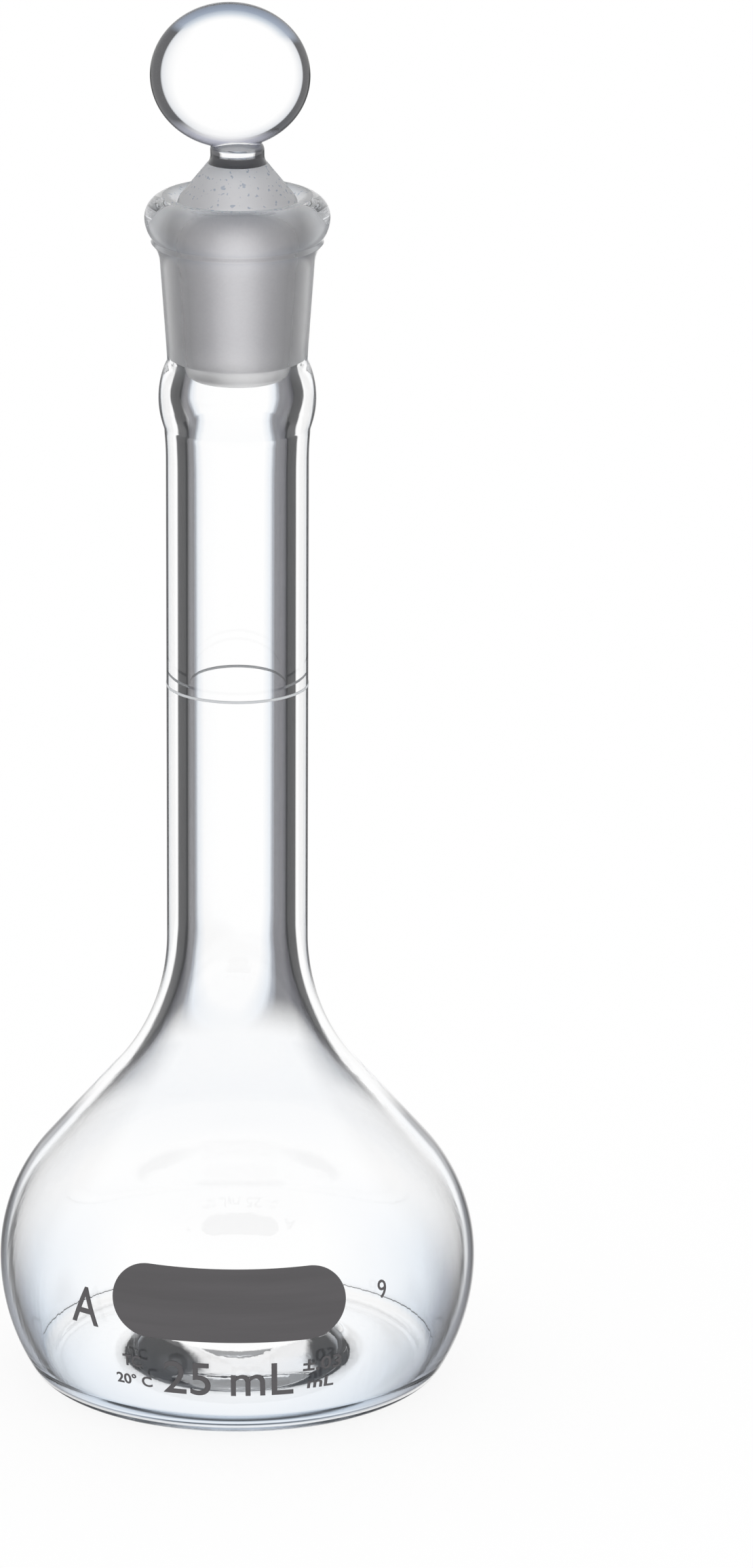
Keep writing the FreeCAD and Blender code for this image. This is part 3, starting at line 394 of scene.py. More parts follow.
def turning_tree():
    """Geometry nodes that turn a section round the Z axis and give ground faces their own finish."""
    tree = bpy.data.node_groups.new("turned_on_the_axis", "GeometryNodeTree")
    for name, kind in (("Section", "NodeSocketGeometry"), ("Segments", "NodeSocketInt"),
                       ("Weld", "NodeSocketFloat"), ("Finish", "NodeSocketMaterial"),
                       ("Ground Finish", "NodeSocketMaterial")):
        tree.interface.new_socket(name, in_out="INPUT", socket_type=kind)
    tree.interface.new_socket("Skin", in_out="OUTPUT", socket_type="NodeSocketGeometry")
    nodes = Nodes(tree)
    given = nodes.add("NodeGroupInput").outputs
    size = nodes.add("GeometryNodeAttributeDomainSize", {"Geometry": given["Section"]})
    count = size.outputs["Point Count"]
    columns = nodes.math("ADD", given["Segments"], 1)
    grid = nodes.add("GeometryNodeMeshGrid", {"Vertices X": columns, "Vertices Y": count})
    index = nodes.add("GeometryNodeInputIndex").outputs[0]
    row = nodes.math("MODULO", index, count)
    column = nodes.math("FLOOR", nodes.math("DIVIDE", index, count))
    turn = nodes.math("MULTIPLY", nodes.math("DIVIDE", column, given["Segments"]), math.tau)

    def from_section(data_type, source):
        sample = nodes.add("GeometryNodeSampleIndex", data_type=data_type)
        nodes.feed(sample.inputs["Geometry"], given["Section"])
        nodes.feed(sample.inputs["Value"], source)
        nodes.feed(sample.inputs["Index"], row)
        return sample.outputs["Value"]

    def named(name):
        return nodes.add("GeometryNodeInputNamedAttribute", {"Name": name},
                         data_type="FLOAT").outputs["Attribute"]

    place = from_section("FLOAT_VECTOR", nodes.add("GeometryNodeInputPosition").outputs[0])
    apart = nodes.add("ShaderNodeSeparateXYZ", {0: place})
    across = nodes.math("MULTIPLY", apart.outputs["X"], nodes.math("COSINE", turn))
    along = nodes.math("MULTIPLY", apart.outputs["X"], nodes.math("SINE", turn))
    point = nodes.add("ShaderNodeCombineXYZ", {"X": across, "Y": along, "Z": apart.outputs["Z"]})
    skin = grid.outputs["Mesh"]
    for name in ("ground", "bore", "lining"):
        skin = nodes.add("GeometryNodeStoreNamedAttribute",
                         {"Geometry": skin, "Name": name, "Value": from_section("FLOAT", named(name))},
                         data_type="FLOAT", domain="POINT").outputs[0]
    turned = nodes.add("GeometryNodeSetPosition",
                       {"Geometry": skin, "Position": point.outputs[0]})
    welded = nodes.add("GeometryNodeMergeByDistance",
                       {"Geometry": turned.outputs[0], "Distance": given["Weld"]})
    smooth = nodes.add("GeometryNodeSetShadeSmooth", {"Geometry": welded.outputs[0]})
    real = nodes.add("GeometryNodeRealizeInstances", {"Geometry": smooth.outputs[0]})
    clear = nodes.add("GeometryNodeSetMaterial",
                      {"Geometry": real.outputs[0], "Material": given["Finish"]})
    rough = nodes.math("GREATER_THAN", named("ground"), 0.6)
    matt = nodes.add("GeometryNodeSetMaterial",
                     {"Geometry": clear.outputs[0], "Selection": rough,
                      "Material": given["Ground Finish"]})
    nodes.add("NodeGroupOutput", {"Skin": matt.outputs[0]})
    return tree


def link(name, mesh):
    piece = bpy.data.objects.new(name, mesh)
    bpy.context.scene.collection.objects.link(piece)
    return piece


def close_mesh(mesh):
    """Merges doubles, drops slivers at the poles and points every face outwards."""
    work = bmesh.new()
    work.from_mesh(mesh)
    bmesh.ops.remove_doubles(work, verts=work.verts, dist=WELD)
    bmesh.ops.dissolve_degenerate(work, edges=work.edges, dist=SLIVER)
    bmesh.ops.recalc_face_normals(work, faces=work.faces)
    work.to_mesh(mesh)
    work.free()


def turned_piece(name, tree, section, finish, ground_finish):
    mesh = bpy.data.meshes.new(name + "_section")
    points = [(radius * MM, 0.0, level * MM) for radius, level in section.points]
    edges = [(step, step + 1) for step in range(len(points) - 1)]
    mesh.from_pydata(points, edges, [])
    for flag, shares in (("ground", section.ground), ("bore", section.bore), ("lining", section.lining)):
        mesh.attributes.new(flag, "FLOAT", "POINT").data.foreach_set("value", shares)
    raw = link(name + "_raw", mesh)
    modifier = raw.modifiers.new("turned", "NODES")
    modifier.node_group = tree
    settings = {"Segments": TURN_SEGMENTS, "Weld": WELD, "Finish": finish,
                "Ground Finish": ground_finish}
    for item in tree.interface.items_tree:
        if item.item_type == "SOCKET" and item.in_out == "INPUT" and item.name in settings:
            modifier[item.identifier] = settings[item.name]
    bpy.context.view_layer.update()
    graph = bpy.context.evaluated_depsgraph_get()
    skin = bpy.data.meshes.new_from_object(raw.evaluated_get(graph))
    raw.modifiers.remove(modifier)
    bpy.data.objects.remove(raw)
    close_mesh(skin)
    skin.name = name
    return link(name, skin)


def stopper_section():
    """The plug, cone and stem, from the middle of the plug's foot to where the thumb piece begins."""
    taper = math.radians(HALF_TAPER)
    edge_level = PLUG_FOOT + PLUG_EDGE_ROUND
    side = PLUG_RADIUS - (PLUG_TOP - edge_level) * math.tan(taper)
    edge_centre = (side - PLUG_EDGE_ROUND / math.cos(taper), edge_level)
    shoulder_centre = polar((PLUG_RADIUS, PLUG_TOP), PLUG_SHOULDER_ROUND, 180 - HALF_TAPER)
    fillet_centre = (STEM_RADIUS + STEM_FILLET, STEM_FOOT)
    plug = Section((0, PLUG_FOOT))
    plug.line((edge_centre[0], PLUG_FOOT))
    plug.arc(edge_centre, PLUG_EDGE_ROUND, -90, -HALF_TAPER, ground=1.0)
    plug.line((PLUG_RADIUS, PLUG_TOP), ground=1.0)
    plug.arc(shoulder_centre, PLUG_SHOULDER_ROUND, -HALF_TAPER, CONE_ANGLE, ground=1.0)
    plug.line(polar(fillet_centre, STEM_FILLET, 180 + CONE_ANGLE), ground=1.0)
    plug.arc(fillet_centre, STEM_FILLET, 180 + CONE_ANGLE, 180)
    return plug


def knob_reach(level, turn, middle):
    """How far the thumb piece reaches from its middle line at a height, in each direction."""
    near = np.zeros(np.broadcast(level, turn).shape)
    far = np.full(near.shape, 3 * KNOB_HALF_WIDTH)
    rim_start = 1 - KNOB_RIM_SHARE
    for _ in range(REACH_HALVINGS):
        tried = (near + far) / 2
        across = (middle + tried * np.cos(turn) - KNOB_OFFSET) / KNOB_HALF_WIDTH
        share = np.hypot(across, (level - KNOB_LEVEL) / KNOB_HALF_HEIGHT)
        rim = np.clip((share - rim_start) / KNOB_RIM_SHARE, 0, 1)
        half = KNOB_HALF_THICKNESS * np.sqrt(1 - rim**2)
        inside = (share < 1) & (np.abs(tried * np.sin(turn)) < half)
        near = np.where(inside, tried, near)
        far = np.where(inside, far, tried)
    return near


def make_stopper(finish, ground_finish):
    """One skin over plug, cone, stem and thumb piece, lofted round the axis."""
    section = stopper_section()
    turns = np.arange(TURN_SEGMENTS) * math.tau / TURN_SEGMENTS
    top = KNOB_LEVEL + KNOB_HALF_HEIGHT
    points = []
    grounds = list(section.ground)

    def add_row(middle, reach, level):
        points.append(np.stack([middle + reach * np.cos(turns), reach * np.sin(turns),
                                np.full(TURN_SEGMENTS, level)], axis=1))

    for radius, level in section.points:
        add_row(0.0, radius, level)
    for step in range(1, KNOB_STEPS):
        level = STEM_FOOT + (top - STEM_FOOT) * (1 - math.cos(math.pi * step / KNOB_STEPS)) / 2
        middle = KNOB_OFFSET * smooth_step(STEM_FOOT, KNOB_LEVEL, level)
        above = max(0.0, level - STEM_ROOT) / STEM_DOME
        stem = STEM_RADIUS * math.sqrt(max(0.0, 1 - above**2))
        knob = knob_reach(level, turns, middle)
        apart = np.maximum(KNOB_BLEND - np.abs(stem - knob), 0) / KNOB_BLEND
        reach = np.maximum(stem, knob) + apart**2 * KNOB_BLEND / 4
        add_row(middle, reach, level)
    add_row(KNOB_OFFSET, 0.0, top)
    grounds += [0.0] * KNOB_STEPS
    verts = np.concatenate(points) * MM
    faces = []
    for row in range(len(points) - 1):
        for step in range(TURN_SEGMENTS):
            ahead = (step + 1) % TURN_SEGMENTS
            faces.append((row * TURN_SEGMENTS + step, row * TURN_SEGMENTS + ahead,
                          (row + 1) * TURN_SEGMENTS + ahead, (row + 1) * TURN_SEGMENTS + step))
    mesh = bpy.data.meshes.new("stopper_glass")
    mesh.from_pydata(verts.tolist(), [], faces)
    mesh.materials.append(finish)
    mesh.materials.append(ground_finish)
    slots = [1 if grounds[row] and grounds[row + 1] else 0
             for row in range(len(points) - 1) for _ in range(TURN_SEGMENTS)]
    mesh.polygons.foreach_set("material_index", slots)
    mesh.polygons.foreach_set("use_smooth", [True] * len(faces))
    close_mesh(mesh)
    return link("stopper_glass", mesh)


def wrap_on_bulb(work, angle):
    """Lays flat shapes, drawn in millimetres, on the bulb as thin enamel turned to an angle."""
    for normal, (low, high) in ((Vector((1, 0, 0)), ENAMEL_SIDES), (Vector((0, 1, 0)), ENAMEL_LEVELS)):
        cut = low
        while cut < high:
            everything = work.verts[:] + work.edges[:] + work.faces[:]
            bmesh.ops.bisect_plane(work, geom=everything, plane_co=normal * cut, plane_no=normal)
            cut += ENAMEL_STEP
    front = work.faces[:]
    back = bmesh.ops.duplicate(work, geom=front)
    back_verts = {vert for vert in back["geom"] if isinstance(vert, bmesh.types.BMVert)}
    back_faces = [face for face in back["geom"] if isinstance(face, bmesh.types.BMFace)]
    partner = {a: b for a, b in back["vert_map"].items() if a in back_verts}
    rims = [edge for edge in work.edges
            if len(edge.link_faces) == 1 and edge.verts[0] in back_verts]
    for edge in rims:
        first, second = edge.verts
        work.faces.new((first, second, partner[second], partner[first]))
    bmesh.ops.reverse_faces(work, faces=back_faces)
    turn = Matrix.Rotation(math.radians(angle), 3, "Z")
    for vert in work.verts:
        lift = -ENAMEL_SUNK if vert in back_verts else ENAMEL_PROUD
        radius = bulb_radius(vert.co.y)
        across = vert.co.x
        depth = math.sqrt(radius**2 - across**2)
        grown = (radius + lift) / radius
        vert.co = turn @ Vector((across * grown, -depth * grown, vert.co.y)) * MM
    bmesh.ops.recalc_face_normals(work, faces=work.faces)


def enamel_piece(name, work, angle, finish):
    wrap_on_bulb(work, angle)
    mesh = bpy.data.meshes.new(name)
    work.to_mesh(mesh)
    work.free()
    mesh.materials.append(finish)
    return link(name, mesh)


def lettering(words):
    """Flat letters in millimetres, each line set to its own width."""
    work = bmesh.new()
    for word in words:
        curve = bpy.data.curves.new("lettering", "FONT")
        curve.body = word.text
        curve.size = word.cap / CAP_SHARE
        curve.offset = word.bold
        curve.align_x = "CENTER"
        curve.resolution_u = LETTER_STEPS
        writing = link("lettering", curve)
        bpy.context.view_layer.update()
        graph = bpy.context.evaluated_depsgraph_get()
        flat = bpy.data.meshes.new_from_object(writing.evaluated_get(graph))
        bpy.data.objects.remove(writing)
        across = [vert.co.x for vert in flat.vertices]
        narrow = word.width / (max(across) - min(across))
        centre = (max(across) + min(across)) / 2
        flat.transform(Matrix.Translation((0, word.foot, 0)) @ Matrix.Diagonal((narrow, 1, 1, 1))
                       @ Matrix.Translation((-centre, 0, 0)))
        work.from_mesh(flat)
        bpy.data.meshes.remove(flat)
    bmesh.ops.remove_doubles(work, verts=work.verts, dist=LETTER_WELD)
    return work


def patch_shape(width, height, level):
    """The writing patch: a bar with round ends."""
    work = bmesh.new()
    radius = height / 2
    reach = width / 2 - radius
    outline = [polar((reach, level), radius, turn) for turn in range(-90, 91, PATCH_TURN)]
    outline += [polar((-reach, level), radius, turn) for turn in range(90, 271, PATCH_TURN)]
    work.faces.new([work.verts.new((across, up, 0)) for across, up in outline])
    return work


def material(name):
    made = bpy.data.materials.new(name)
    made.use_nodes = True
    made.node_tree.nodes.clear()
    return made, Nodes(made.node_tree)


def ramp(nodes, factor, *stops):
    """A colour ramp from pairs of place and colour."""
    node = nodes.add("ShaderNodeValToRGB", {"Fac": factor})
    elements = node.color_ramp.elements
    while len(elements) < len(stops):
        elements.new(1.0)
    for element, (place, colour) in zip(elements, stops):
        element.position = place
        element.color = (*colour, 1)
    return node.outputs["Color"]


def mix(nodes, factor, first, second):
    node = nodes.add("ShaderNodeMix", data_type="RGBA")
    for socket, source in (("Factor", factor), ("A", first), ("B", second)):
        nodes.feed(next(one for one in node.inputs if one.name == socket and one.enabled), source)
    return next(one for one in node.outputs if one.enabled)


def soft(nodes, value, low, high):
    """A soft step from 0 at the low value to 1 at the high one."""
    return nodes.add("ShaderNodeMapRange", {"Value": value, "From Min": low, "From Max": high},
                     interpolation_type="SMOOTHSTEP").outputs[0]


def fade(nodes, height, levels):
    """A soft step between two heights that are given in millimetres."""
    low, high = levels
    return soft(nodes, height, low * MM, high * MM)


def facing_share(nodes):
    """0 where a surface faces the eye and 1 where it is seen edge on."""
    return nodes.add("ShaderNodeLayerWeight", {"Blend": 0.5}).outputs["Facing"]


def entering_share(nodes):
    """1 where the line of sight goes into the glass and 0 where it comes out."""
    return nodes.math("SUBTRACT", 1.0, nodes.add("ShaderNodeNewGeometry").outputs["Backfacing"])


def split(nodes, vector):
    return nodes.add("ShaderNodeSeparateXYZ", {0: vector}).outputs


def times(nodes, first, second):
    return nodes.add("ShaderNodeVectorMath", {0: first, 1: second}, operation="MULTIPLY").outputs[0]


def principled(nodes, settings):
    shader = nodes.add("ShaderNodeBsdfPrincipled", settings)
    nodes.add("ShaderNodeOutputMaterial", {"Surface": shader.outputs[0]})


WHITE = (1.0, 1.0, 1.0)
NO_TINT = (*WHITE, 1)
GLASS_IOR = 1.473

# How much sooner the painted shade of the glass comes in to the right, or with a minus to the left, for each
# metre, so that one side is painted darker than the other
BASE_SHADE_LEAN = 8.0
BORE_SHADE_LEAN = 52.0
RIM_SHADE_LEAN = -8.0

# How steeply the borders of the painted shade on the thumb piece's crown and foot slope
CROWN_TILT = 0.093

# How far the painted shade along the outline is eased at the shoulder, and the painted shade of the ground
# glass where it lies open
SHOULDER_EASE = 0.9
OPEN_EASE = 0.95

# The part of the thumb piece, from its middle outwards, where the painted shade of the rim comes in
RIM_START = 0.66
RIM_FULL = 0.72


def drawn_lines(nodes, strength):
    """The faint lines that drawing leaves along the glass."""
    place = nodes.add("ShaderNodeTexCoord").outputs["Object"]
    stretch = nodes.add("ShaderNodeMapping", {"Vector": place, "Scale": (1100.0, 1100.0, 14.0)})
    lines = nodes.add("ShaderNodeTexNoise", {"Vector": stretch.outputs[0], "Scale": 1.0, "Detail": 2.0})
    return nodes.add("ShaderNodeBump", {"Height": lines.outputs["Fac"], "Strength": strength,
                                        "Distance": 0.0001}).outputs[0]


def flask_glass(name):
    """Clear glass with painted shade in its colour: dark along its outline and where the bore's far wall is
    met at a slant, and painted darker to the right at the foot and in the bore.
    """
    made, nodes = material(name)
    facing = facing_share(nodes)
    apart = split(nodes, nodes.add("ShaderNodeTexCoord").outputs["Object"])
    height = apart["Z"]
    # how far right of the axis a point lies, where the painted shade comes in sooner
    right = nodes.math("MAXIMUM", apart["X"], 0.0)

    # the painted shade along the outline, eased at the shoulder, and the painted shade at the hem of the
    # lining there
    outline = ramp(nodes, facing, (0.62, WHITE), (0.735, (0.84, 0.88, 0.93)),
                   (0.775, (0.10, 0.11, 0.13)), (0.84, (0.008, 0.008, 0.01)))
    lining = nodes.add("ShaderNodeAttribute", attribute_name="lining").outputs["Fac"]
    hem_shade = ramp(nodes, facing, (0.55, WHITE), (0.70, (0.28, 0.30, 0.34)), (0.80, (0.02, 0.02, 0.025)))
    hem_shade = mix(nodes, fade(nodes, height, HEM_FADE), NO_TINT, hem_shade)
    shoulder = nodes.math("MULTIPLY", fade(nodes, height, SHOULDER_FOOT_FADE),
                          fade(nodes, height, SHOULDER_HEAD_FADE))
    outline = mix(nodes, nodes.math("MULTIPLY", shoulder, SHOULDER_EASE), outline, NO_TINT)
    outline = mix(nodes, lining, outline, hem_shade)

    # the painted shade along the socket and its lip
    socket_shade = ramp(nodes, facing, (0.6, WHITE), (0.85, (0.86, 0.88, 0.91)), (1.0, (0.5, 0.51, 0.54)))
    lip_shade = ramp(nodes, facing, (0.25, WHITE), (0.5, (0.74, 0.77, 0.81)), (1.0, (0.52, 0.54, 0.59)))
    socket_shade = mix(nodes, fade(nodes, height, LIP_FADE), socket_shade, lip_shade)
    outline = mix(nodes, fade(nodes, height, SOCKET_FADE), outline, socket_shade)

    # the painted shade at the foot of the bulb and in the bore of the neck, both painted darker to the right
    low_shade = ramp(nodes, nodes.math("MULTIPLY_ADD", right, BASE_SHADE_LEAN, facing), (0.12, WHITE),
                       (0.32, (0.84, 0.89, 0.95)), (0.55, (0.60, 0.69, 0.80)), (0.76, (0.23, 0.26, 0.32)),
                       (1.0, (0.05, 0.05, 0.06)))
    aside = nodes.math("MINIMUM", right, NECK_BORE * MM)
    bore = ramp(nodes, nodes.math("MULTIPLY_ADD", aside, BORE_SHADE_LEAN, facing), (0.30, WHITE),
                (0.43, (0.64, 0.71, 0.80)), (0.49, (0.14, 0.16, 0.20)), (0.56, (0.025, 0.025, 0.03)),
                (0.8, (0.015, 0.015, 0.02)))

    # level surfaces, such as the floor, stay clear of the painted shade
    lean = nodes.math("ABSOLUTE", split(nodes, nodes.add("ShaderNodeTexCoord").outputs["Normal"])["Z"])
    upright = soft(nodes, lean, 0.9, 0.7)
    wall = mix(nodes, fade(nodes, height, BASE_FADE), outline, low_shade)
    wall = mix(nodes, upright, NO_TINT, wall)
    depth = nodes.add("ShaderNodeAttribute", attribute_name="bore").outputs["Fac"]
    # the painted shade goes only where the line of sight enters the glass
    painted_shade = mix(nodes, entering_share(nodes), NO_TINT, mix(nodes, depth, wall, bore))
    principled(nodes, {"Base Color": painted_shade, "Roughness": 0.0, "IOR": GLASS_IOR,
                       "Transmission Weight": 1.0, "Normal": drawn_lines(nodes, 0.04)})
    return made


def stopper_glass(name):
    """Clear pressed glass with painted shade in its colour: the thick rim is painted dark at its sides,
    crown and foot in their own ways, sooner to the left, and the stem is painted nearly black.
    """
    made, nodes = material(name)
    facing = facing_share(nodes)
    apart = split(nodes, nodes.add("ShaderNodeTexCoord").outputs["Object"])
    height = apart["Z"]
    # painted shade on the thumb piece's rim: its sides, sooner to the left, its crown and its foot
    tilted = nodes.math("MULTIPLY_ADD", apart["X"], CROWN_TILT, height)
    leaning_shade_facing = nodes.math("MULTIPLY_ADD", apart["X"], RIM_SHADE_LEAN, facing)
    side = ramp(nodes, leaning_shade_facing, (0.05, WHITE), (0.215, (0.55, 0.58, 0.63)),
                (0.255, (0.010, 0.010, 0.011)), (1.0, (0.006, 0.006, 0.007)))
    crown_shade = ramp(nodes, facing, (0.05, WHITE), (0.16, (0.45, 0.52, 0.61)), (0.28, (0.15, 0.19, 0.27)),
                 (0.7, (0.05, 0.053, 0.068)), (1.0, (0.035, 0.035, 0.042)))
    foot = ramp(nodes, facing, (0.12, WHITE), (0.36, (0.28, 0.29, 0.38)),
                (0.7, (0.035, 0.035, 0.047)), (1.0, (0.02, 0.02, 0.025)))
    knob = mix(nodes, fade(nodes, tilted, CROWN_FADE), side, crown_shade)
    knob = mix(nodes, fade(nodes, tilted, KNOB_FOOT_FADE), knob, foot)

    # the flat middle of the thumb piece stays clear of the painted shade
    across = nodes.math("DIVIDE", nodes.math("SUBTRACT", apart["X"], KNOB_OFFSET * MM), KNOB_HALF_WIDTH * MM)
    up = nodes.math("DIVIDE", nodes.math("SUBTRACT", height, KNOB_LEVEL * MM), KNOB_HALF_HEIGHT * MM)
    share = nodes.math("SQRT", nodes.math("MULTIPLY_ADD", across, across, nodes.math("MULTIPLY", up, up)))
    knob = mix(nodes, soft(nodes, share, RIM_START, RIM_FULL), NO_TINT, knob)

    # painted shade on the stem, nearly black, and the clear plug below the handle
    shank_shade = ramp(nodes, facing, (0.19, WHITE), (0.27, (0.012, 0.012, 0.014)), (1.0, (0.008, 0.008, 0.009)))
    stem = mix(nodes, fade(nodes, height, SHANK_FADE), shank_shade, (0.012, 0.012, 0.014, 1))
    painted_shade = mix(nodes, fade(nodes, height, KNOB_FADE), stem, knob)
    handle_shade_mask = nodes.math("MULTIPLY", entering_share(nodes), fade(nodes, height, HANDLE_FADE))
    painted_shade = mix(nodes, handle_shade_mask, NO_TINT, painted_shade)
    principled(nodes, {"Base Color": painted_shade, "Roughness": 0.0, "IOR": GLASS_IOR,
                       "Transmission Weight": 1.0})
    return made


def ground_glass(name):
    """Fine ground glass: it scatters light, and has painted shade in its colour, darkest where it is crossed
    at a middling slant.
    """
    made, nodes = material(name)
    place = nodes.add("ShaderNodeTexCoord").outputs["Object"]
    height = split(nodes, place)["Z"]
    grain = nodes.add("ShaderNodeTexNoise", {"Vector": place, "Scale": 5200.0, "Detail": 3.0})
    pits = nodes.add("ShaderNodeTexNoise", {"Vector": place, "Scale": 2500.0, "Detail": 1.0})
    # painted shade by slant: pale face on, darkest at a middling slant, pale again towards the edge
    slant_shade = ramp(nodes, facing_share(nodes), (0.0, (0.995, 0.99, 1.0)), (0.1, (0.73, 0.725, 0.74)),
                   (0.2, (0.465, 0.46, 0.475)), (0.32, (0.72, 0.715, 0.73)), (0.5, (0.97, 0.97, 0.975)))
    speckle = ramp(nodes, grain.outputs["Fac"], (0.35, (0.95, 0.95, 0.955)), (0.65, WHITE))
    pitted = ramp(nodes, pits.outputs["Fac"], (0.63, WHITE), (0.69, (0.42, 0.49, 0.60)))

    # the painted shade is eased on the cone above the socket and on the plug's foot below it, so they are
    # paler, and the cone is pitted
    cone = fade(nodes, height, OPEN_CONE_FADE)
    alone = nodes.math("MAXIMUM", cone, fade(nodes, height, PLUG_FOOT_FADE))
    tone = mix(nodes, nodes.math("MULTIPLY", alone, OPEN_EASE), times(nodes, slant_shade, speckle), NO_TINT)
    tone = times(nodes, tone, mix(nodes, cone, NO_TINT, pitted))
    principled(nodes, {"Base Color": tone, "Roughness": 0.55, "IOR": GLASS_IOR,
                       "Transmission Weight": 1.0, "Specular IOR Level": 0.2})
    return made


def fired_enamel(name):
    """Dark satin enamel with faint streaks from the printing."""
    made, nodes = material(name)
    place = nodes.add("ShaderNodeTexCoord").outputs["Object"]
    stretch = nodes.add("ShaderNodeMapping", {"Vector": place, "Scale": (60.0, 60.0, 900.0)})
    streak = nodes.add("ShaderNodeTexNoise", {"Vector": stretch.outputs[0], "Scale": 1.0, "Detail": 4.0})
    tone = ramp(nodes, streak.outputs["Fac"], (0.3, (0.098, 0.094, 0.098)), (0.7, (0.113, 0.108, 0.113)))
    principled(nodes, {"Base Color": tone, "Roughness": 0.62, "Specular IOR Level": 0.2})
    return made


def stain(name):
    """The pale, matt stain of the etched line."""
    made, nodes = material(name)
    principled(nodes, {"Base Color": (0.80, 0.82, 0.84, 1), "Roughness": 0.6, "IOR": GLASS_IOR,
                       "Transmission Weight": 0.3})
    return made


def white_studio():
    """A white world that is darker to the sides for what the glass mirrors."""
    world = bpy.data.worlds.new("white_studio")
    bpy.context.scene.world = world
    world.use_nodes = True
    world.node_tree.nodes.clear()
    nodes = Nodes(world.node_tree)
    path = nodes.add("ShaderNodeLightPath").outputs
    apart = split(nodes, nodes.add("ShaderNodeTexCoord").outputs["Generated"])

    def both(first, second):
        return nodes.math("MULTIPLY", first, second)

    def other(share):
        return nodes.math("SUBTRACT", 1.0, share)

    def either(share, first, second):
        return nodes.math("ADD", both(share, first), both(other(share), second))

    level = apart["Z"]
    flat = nodes.math("SQRT", nodes.math("ADD", both(apart["X"], apart["X"]), both(apart["Y"], apart["Y"])))
    across = nodes.math("DIVIDE", apart["X"], nodes.math("ADD", flat, 1e-4))
    aside = nodes.math("ABSOLUTE", across)
    onward = soft(nodes, apart["Y"], 0.15, 0.45)
    rising = soft(nodes, level, 0.0, 0.15)

    # the walls: dark beside, above and below a white window behind the flask
    window_height = both(soft(nodes, level, 0.5, 0.4), soft(nodes, level, -0.9, -0.75))
    walls = other(both(soft(nodes, aside, 0.54, 0.42), window_height))

    # the base, whose rays turn several times inside the glass: dark but for a narrower window
    several = nodes.math("GREATER_THAN", path["Glossy Depth"], 2.5)
    many = nodes.math("GREATER_THAN", path["Glossy Depth"], 3.5)
    most = nodes.math("GREATER_THAN", path["Glossy Depth"], 4.5)
    gap = soft(nodes, nodes.math("ABSOLUTE", nodes.math("ADD", across, 0.14)), 0.19, 0.29)
    base = both(gap, nodes.math("MAXIMUM", rising, several))
    base = nodes.math("MAXIMUM", base, both(both(rising, most), 0.7))
    base = nodes.math("MULTIPLY_ADD", base, onward, both(many, other(onward)))

    # mirrored off the outside: two dark strips beside a narrow window
    strips = both(soft(nodes, aside, 0.12, 0.3), soft(nodes, aside, 0.75, 0.5))
    strips = both(strips, both(soft(nodes, level, -0.1, -0.22), 0.75))

    # only what the glass has mirrored is dark, by how deep in the glass the light has been
    deep = nodes.math("GREATER_THAN", path["Transmission Depth"], 2.5)
    within = nodes.math("MINIMUM", path["Transmission Depth"], 1.0)
    mirrored = nodes.math("MINIMUM", path["Glossy Depth"], 1.0)
    shade = both(mirrored, either(deep, base, both(onward, either(within, walls, strips))))
    tone = ramp(nodes, nodes.math("MULTIPLY_ADD", level, 0.5, 0.5),
                (0.05, (0.62, 0.69, 0.78)), (0.25, WHITE), (0.78, WHITE), (0.95, (0.82, 0.85, 0.9)))
    glass_sees = mix(nodes, shade, tone, (0.020, 0.021, 0.024, 1))
    glassy = nodes.math("MAXIMUM", path["Is Transmission Ray"], path["Is Glossy Ray"])
    seen = mix(nodes, glassy, NO_TINT, glass_sees)
    light = nodes.add("ShaderNodeBackground", {"Color": seen, "Strength": 1.0})
    nodes.add("ShaderNodeOutputWorld", {"Surface": light.outputs[0]})


# The floor, in metres, a hair below the base
FLOOR_RADIUS = 1.6
FLOOR_DROP = 0.0001
FLOOR_GLOW = 0.88


def pale_floor():
    """A floor that glows almost white and takes the flask's soft shadow in the rest."""
    made, nodes = material("pale_floor")
    grey = 1 - FLOOR_GLOW
    diffuse = nodes.add("ShaderNodeBsdfDiffuse", {"Color": (grey, grey, grey, 1)})
    glow = nodes.add("ShaderNodeEmission", {"Color": NO_TINT, "Strength": FLOOR_GLOW})
    lit = nodes.add("ShaderNodeAddShader", {0: diffuse.outputs[0], 1: glow.outputs[0]})
    nodes.add("ShaderNodeOutputMaterial", {"Surface": lit.outputs[0]})
    work = bmesh.new()
    bmesh.ops.create_circle(work, cap_ends=True, segments=96, radius=FLOOR_RADIUS)
    mesh = bpy.data.meshes.new("pale_floor")
    work.to_mesh(mesh)
    work.free()
    mesh.materials.append(made)
    floor = link("pale_floor", mesh)
    floor.location.z = -FLOOR_DROP
    floor.visible_transmission = False
    floor.visible_glossy = False


# The photograph's camera, in metres, degrees and the photograph's own pixels
CAMERA_REACH = 0.714
CAMERA_HEIGHT = 0.276
CAMERA_TURN = 2.25
AIM_LEVEL = 0.0523
IMAGE_WIDTH = 1110
IMAGE_HEIGHT = 2311
AXIS_COLUMN = 350
FOCAL_PIXELS = 13024.85
SENSOR_HEIGHT = 24.0


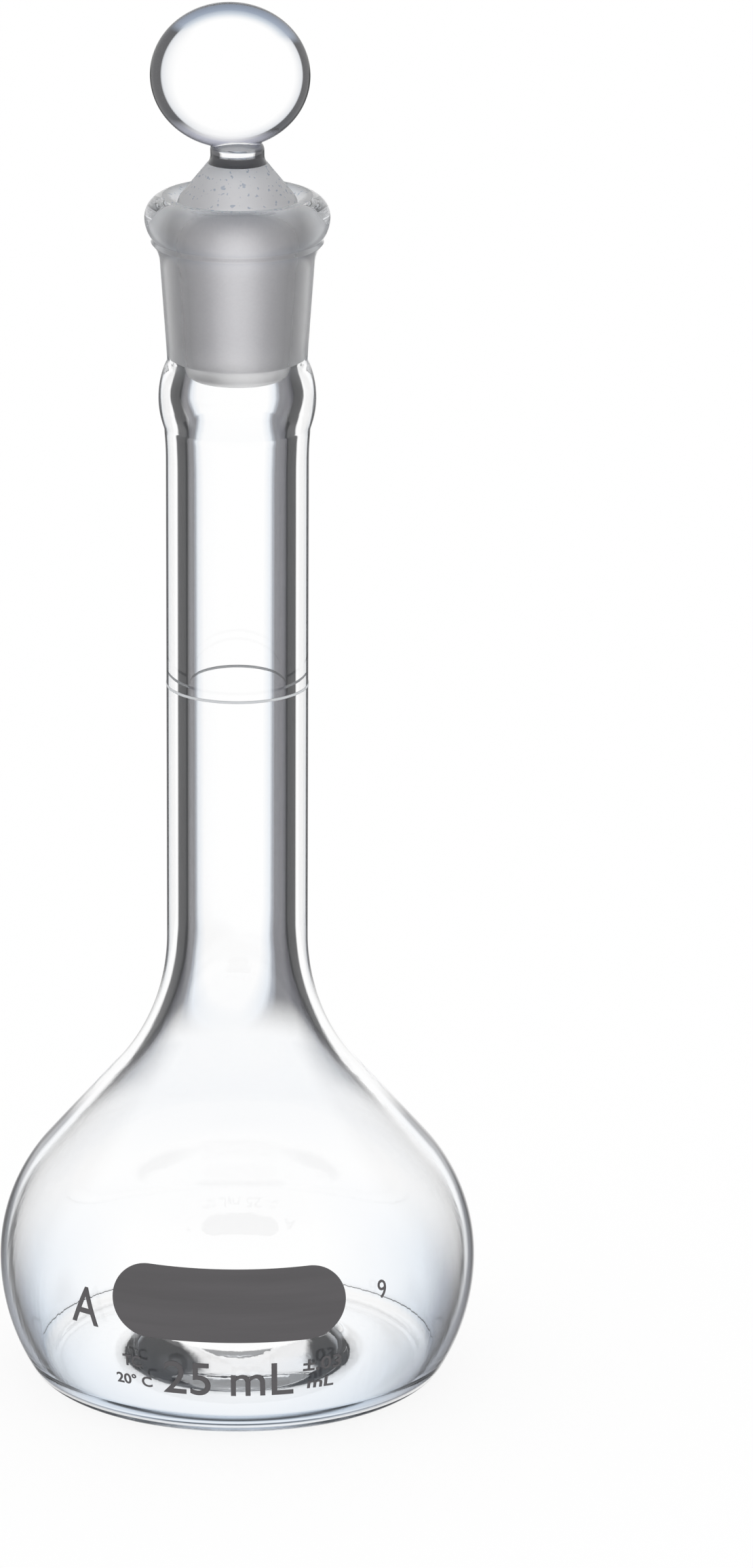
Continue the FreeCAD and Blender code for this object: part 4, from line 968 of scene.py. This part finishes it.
def photo_camera():
    data = bpy.data.cameras.new("photo_camera")
    camera = bpy.data.objects.new("photo_camera", data)
    bpy.context.scene.collection.objects.link(camera)
    turn = math.radians(CAMERA_TURN)
    place = Vector((CAMERA_REACH * math.sin(turn), -CAMERA_REACH * math.cos(turn), CAMERA_HEIGHT))
    side = Vector((math.cos(turn), math.sin(turn), 0))
    to_axis = Vector((0, 0, AIM_LEVEL)) - place
    aside = to_axis.length * (IMAGE_WIDTH / 2 - AXIS_COLUMN) / FOCAL_PIXELS
    forward = (to_axis + side * aside).normalized()
    up = side.cross(forward).normalized()
    right = forward.cross(up)
    turned = Matrix((right, up, -forward)).transposed().to_4x4()
    camera.matrix_world = Matrix.Translation(place) @ turned
    data.sensor_fit = "VERTICAL"
    data.sensor_height = SENSOR_HEIGHT
    data.lens = FOCAL_PIXELS * SENSOR_HEIGHT / IMAGE_HEIGHT
    data.clip_start = 0.01
    bpy.context.scene.camera = camera


def build():
    polished = flask_glass("fire_polished_glass")
    pressed = stopper_glass("pressed_glass")
    ground = ground_glass("ground_glass")
    enamel = fired_enamel("fired_enamel")
    tree = turning_tree()

    flask = turned_piece("flask_glass", tree, flask_section(), polished, ground)
    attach(flask, "flask")
    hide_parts("flask_body", "ground_socket")

    stopper = make_stopper(pressed, ground)
    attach(stopper, "stopper")
    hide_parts("stopper")

    stained = stain("etched_stain")
    ring = turned_piece("ring_stain", tree, ring_section(), stained, stained)
    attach(ring, "flask")
    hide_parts("graduation_ring")

    shapes = {"writing_patch": ("patch_enamel", 0.0, patch_shape(PATCH_WIDTH, PATCH_HEIGHT, PATCH_LEVEL))}
    for node, (name, angle, words) in MARKS.items():
        shapes[node] = (name, angle, lettering(words))
    for node, (name, angle, work) in shapes.items():
        mark = enamel_piece(name, work, angle, enamel)
        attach(mark, "flask")
        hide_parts(node)


build()
white_studio()
pale_floor()
photo_camera()
scene = bpy.context.scene
scene.view_settings.view_transform = "Standard"
scene.cycles.max_bounces = 64
scene.cycles.transmission_bounces = 64
scene.cycles.glossy_bounces = 48
